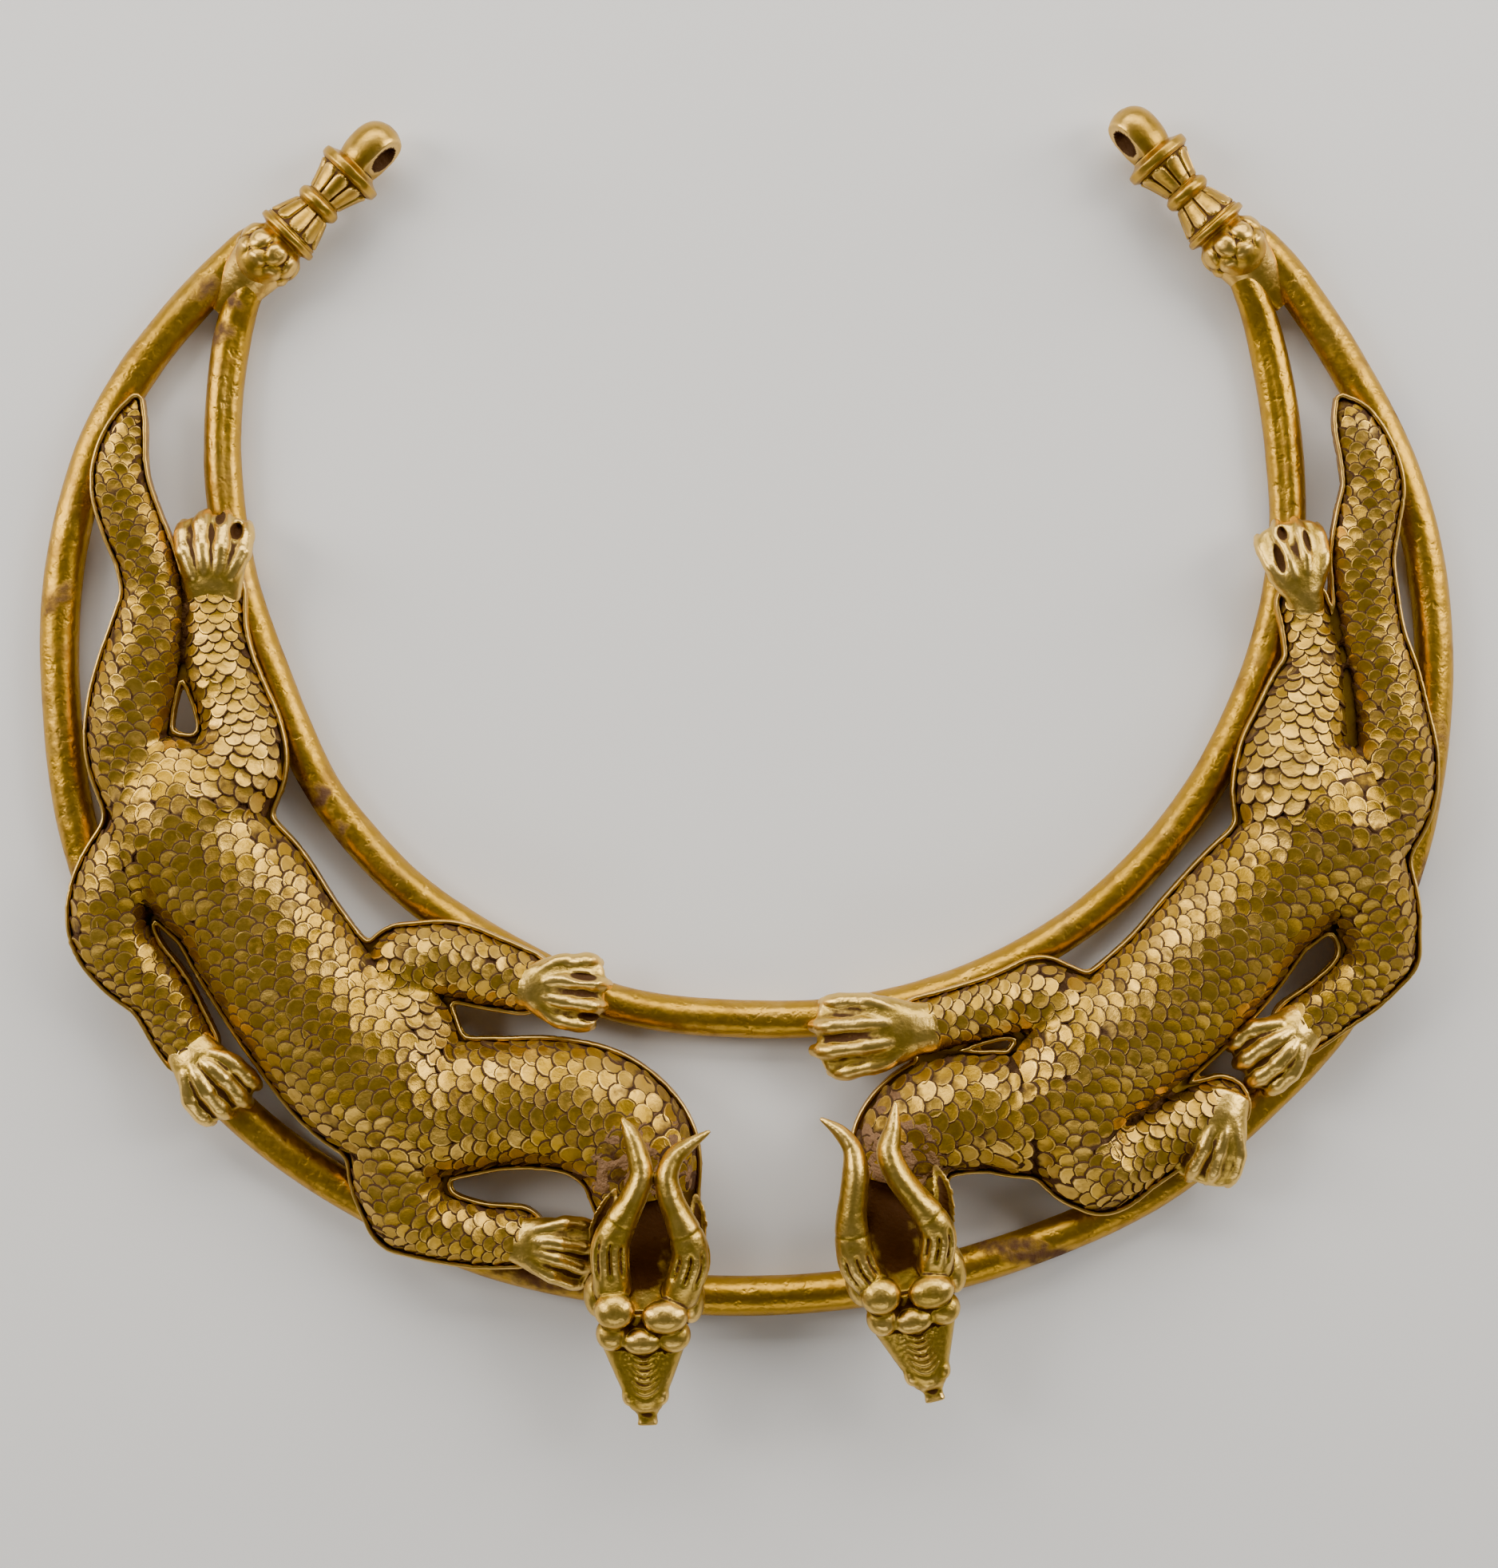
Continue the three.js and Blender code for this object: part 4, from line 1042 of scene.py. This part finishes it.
def paw(x, y, heading, length, width, bone, wrist, seed, breaks):
    """A flat hand and four bony fingers as rods, fused. Two knuckles swell each finger, and its tip
    curls down over the tube."""
    long, wide = length * SHARE, width * SHARE
    dice = np.random.default_rng(seed)
    t = np.linspace(0, 1, FINGER_ROWS)
    hand = np.array([[-0.14, 0, -0.2], [0.12, 0, 0.7], [0.45, 0, 1.0], [0.88, 0, -0.5]]) * [long, wide, 1]
    girth = np.interp(t, [0, 0.25, 0.55, 0.85, 1], [wrist * 0.95, wrist, 0.45, 0.47, 0.43]) * wide
    thick = np.interp(t, [0, 0.3, 1], [0.22, 0.22, 0.13]) * wide
    shells = [rod(smooth_line(hand, FINGER_ROWS), girth, thick, 40, blunt=0.3)]
    for k in range(FINGERS):
        spread = (k - 1.5) / 3 + dice.normal(0, 0.012)
        reach = (1.02 - 0.35 * spread * spread) * long * dice.normal(1, 0.03)
        aside = spread * wide
        drop = 3.2 * spread * spread
        line = np.array([
            [0.16 * long, 1.2 * wrist * aside, 1.5], [0.36 * long, 0.68 * aside, 2.2 - drop],
            [0.6 * reach, 0.8 * aside, 1.7 - drop], [0.84 * reach, 0.84 * aside, 0.4 - drop],
            [0.96 * reach, 0.82 * aside, -1.6],
        ]) + dice.normal(0, 0.1, (5, 3))
        knuckles = sum(bell(t, at, KNUCKLE_LENGTH) for at in KNUCKLES)
        thick = 1.12 * bone * wide * (1 + 0.12 * knuckles - 0.25 * ramp(t, 0.85, 1))
        shells.append(rod(smooth_line(line, FINGER_ROWS), thick, thick * 1.15, 18))
    points, faces = fused("paw", shells, PAW_VOXEL, 2)
    points[:, 2] = np.maximum(points[:, 2], PAW_LOWEST)
    sunk = broken_in(points, long, wide, breaks)
    points[:, 2] -= sunk
    low = np.clip(-0.3 - points[:, 2] * 0.3, 0, 0.4) + np.clip(sunk * 1.4, 0, 1)
    return (turned_about(points, x, y, heading, PAW_HEIGHT), faces), low


cast_gold = gold(
    "cast_gold", (0.47, 0.3, 0.035, 1), (0.9, 0.6, 0.17, 1), (0.08, 0.036, 0.014, 1), 0.3,
    lambda place: place.mottle(1.5) * 0.25 + place.mottle(0.4, 2) * 0.04,
)
for side, figure in DRAGONS.items():
    for number, (leg, spec) in enumerate(figure["paws"].items()):
        shell, low = paw(*spec, 40 + number, PAW_BREAKS.get((side, leg), ()))
        finish(
            f"{side}_{leg}_cast_paw", shell, cast_gold, [f"{side}_{leg}_paw"], "cast_gold",
            relief_rounds_and_depth=(16, 0.16), dirt=low, polish=0.35,
        )

# The heads: cast hollow and soldered on the neck, with long curved horns that spring from round bosses,
# a row of three brows, a snout with bowed wrinkles, leaf ears, full cheeks and a peg under the nose.
HEAD_LENGTH = 32
HEAD_SIZE = HEAD_LENGTH / 100
HEAD_HEIGHT = RIM_TOP + 0.6 + 13 * HEAD_SIZE
HEAD_VOXEL = 0.24
WRINKLE = 3.1
WRINKLE_BOW = 0.11
WRINKLE_HEIGHT = 0.9
SKULL = [
    # along, aside, up, half width, half height
    [-44, 0, -7, 11, 4], [-30, 1, -6, 15, 6], [-14, 1, -4, 19, 8], [0, 1, -2, 20, 10],
    [12, 1, -1, 18, 12],
]
LUMPS = (
    # brows: x, y, z, and the half lengths along each
    ((12, -12.6, 10), (7.6, 7, 6.4)), ((15.6, 0.6, 11.5), (6, 8.6, 5.6)),
    ((13.6, 14.2, 10), (7.6, 7.8, 6.4)),
    # bosses at the feet of the horns
    ((1.2, -10.8, 15.5), (8.4, 9, 7)), ((4.6, 11, 15.5), (7.6, 10.2, 7)),
    # cheeks
    ((-4, -18.5, 2), (10, 6.2, 8)), ((-2, 22, 2), (12, 6.6, 8)),
    # nostrils and lip
    ((40.5, -6.2, 1), (5, 3.4, 4.4)), ((40.5, 8, 1), (5, 3.4, 4.4)), ((44.6, 1, 0.5), (4.2, 6.8, 5)),
)
PEG_PROFILE = [
    # along, half width
    [44, 5.2], [48.6, 5.2], [49, 5.0], [49.2, 4.2], [52.9, 4.2], [53.1, 4.4], [54.2, 4.5], [54.5, 4.0],
]
EARS = (
    ([[-22, -17, -2], [-32, -17, 2], [-42, -13, 4], [-51, -8, 4]], 4.4),
    ([[-12, 21, -2], [-24, 24.5, 3], [-36, 26.5, 5], [-47, 26, 4]], 5),
)


def ball(middle, halves):
    """A round lump: a sphere of 24 rows and columns, stretched to its half lengths along each axis."""
    bend = np.linspace(-np.pi / 2, np.pi / 2, 26)[1:-1, None]
    angle = once_round(24)
    unit = about_x(np.sin(bend), np.cos(bend) * np.cos(angle), np.cos(bend) * np.sin(angle))
    return skin(unit * halves + middle)


def muzzle():
    """A snout that narrows, as ovals along it. Its top has nested bowed wrinkles: sharp-crested waves of
    the distance along plus a share of the squared distance from the middle."""
    along = np.linspace(4, 48.5, 180)[:, None]
    half = np.interp(along, [4, 14, 20, 32, 43, 47, 48.5], [20, 19, 18, 13.2, 8.6, 6.8, 4.5])
    high = np.interp(along, [4, 12, 20, 38, 44, 48.5], [14, 12.5, 11, 8.4, 7, 4])
    angle = once_round(96)
    aside, up = half * np.cos(angle), np.sin(angle)
    bowed = along + WRINKLE_BOW * aside**2
    wave = 1 - 2 * np.abs(np.sin(np.pi * bowed / WRINKLE))
    zone = ramp(along, 19.5, 21) * ramp(bowed, 43, 41.5) * (up > 0)
    zone = zone * np.clip((0.74 - np.abs(np.cos(angle))) * 3, 0, 1)
    rise = high * np.sign(up) * np.abs(up) ** 0.8 + WRINKLE_HEIGHT * wave * zone
    return skin(about_x(along, aside + 1, rise - 1))


def flutes(t, angle):
    """A horn's thickness: short deep slots above its foot, a fine ring and a soft ridge on top."""
    slots = np.clip(np.cos(9 * (angle - np.pi / 2)), 0, 1) ** 2
    reach = ramp(t, 0.05, 0.08) * ramp(t, 0.21, 0.17)
    ridge = 0.06 * np.cos(3 * (angle - np.pi / 2)) * ramp(t, 0.3, 0.4)
    return 1 + 0.28 * ramp(t, 0.42, 0.12) - 0.42 * slots * reach - 0.08 * bell(t, 0.29, 0.008) + ridge


def leaf_ear(line, wide):
    """An ear: a pointed leaf along a line, hollowed along its middle."""
    t = np.linspace(0, 1, 40)[:, None]
    angle = once_round(32)
    half = wide * np.sin(np.pi * (0.12 + 0.86 * t)) ** 0.7
    rise = 1.3 * np.sin(angle) + 4.2 * np.cos(angle) ** 2 * np.sin(np.pi * (0.1 + 0.85 * t))
    return skin(ring_about(smooth_line(line, 40), half * np.cos(angle), rise))


def nose_peg():
    """A short square peg with a collar: rounded squares along the snout's line."""
    along, half = np.array(PEG_PROFILE).T[..., None]
    angle = once_round(40)
    square = half * (np.abs(np.cos(angle)) ** 6 + np.abs(np.sin(angle)) ** 6) ** (-1 / 6)
    return skin(about_x(along, square * np.cos(angle) + 1.4, 0.9 * square * np.sin(angle) - 3))


def dragon_head(head, horns):
    """The skull, snout, brows, bosses, cheeks, ears, peg and horns, fused, in percent of its length."""
    skull = smooth_line(SKULL, 40)
    shells = [rod(skull[:, :3], skull[:, 3], skull[:, 4], 40), muzzle(), nose_peg()]
    shells += [ball(*lump) for lump in LUMPS] + [leaf_ear(*ear) for ear in EARS]
    for horn in horns:
        rows = smooth_line(horn, 240)
        rows[:, 2] -= 1.3
        shells.append(rod(rows[:, :3], rows[:, 3], rows[:, 3] * 0.95, 90, flutes))
    shells = [(points * HEAD_SIZE, faces) for points, faces in shells]
    points, faces = fused("head", shells, HEAD_VOXEL, 1)
    points[:, 2] = np.maximum(points[:, 2], RIM_TOP + 0.3 - HEAD_HEIGHT)
    along, aside, up = points.T
    # Behind the brow and below the horns the head is dark, most of all between them: partly earth and
    # partly painted shade. Lower down on the head it is darker as well.
    recess = np.clip(1.4 - np.abs(aside - 0.3) / 2.6, 0.35, 1) * np.clip(-along / 2 - 0.3, 0, 1)
    dirt = recess * ramp(up, 3.4, 1.9) + np.clip(0.3 - up * 0.14, 0, 0.5)
    x, y, heading = head
    return (turned_about(points, x, y, heading, HEAD_HEIGHT), faces), dirt


for side, figure in DRAGONS.items():
    shell, dirt = dragon_head(figure["head"], figure["horns"])
    finish(
        f"{side}_cast_head", shell, cast_gold, [f"{side}_dragon_head"], "cast_gold",
        relief_rounds_and_depth=(14, 0.16), dirt=dirt,
    )
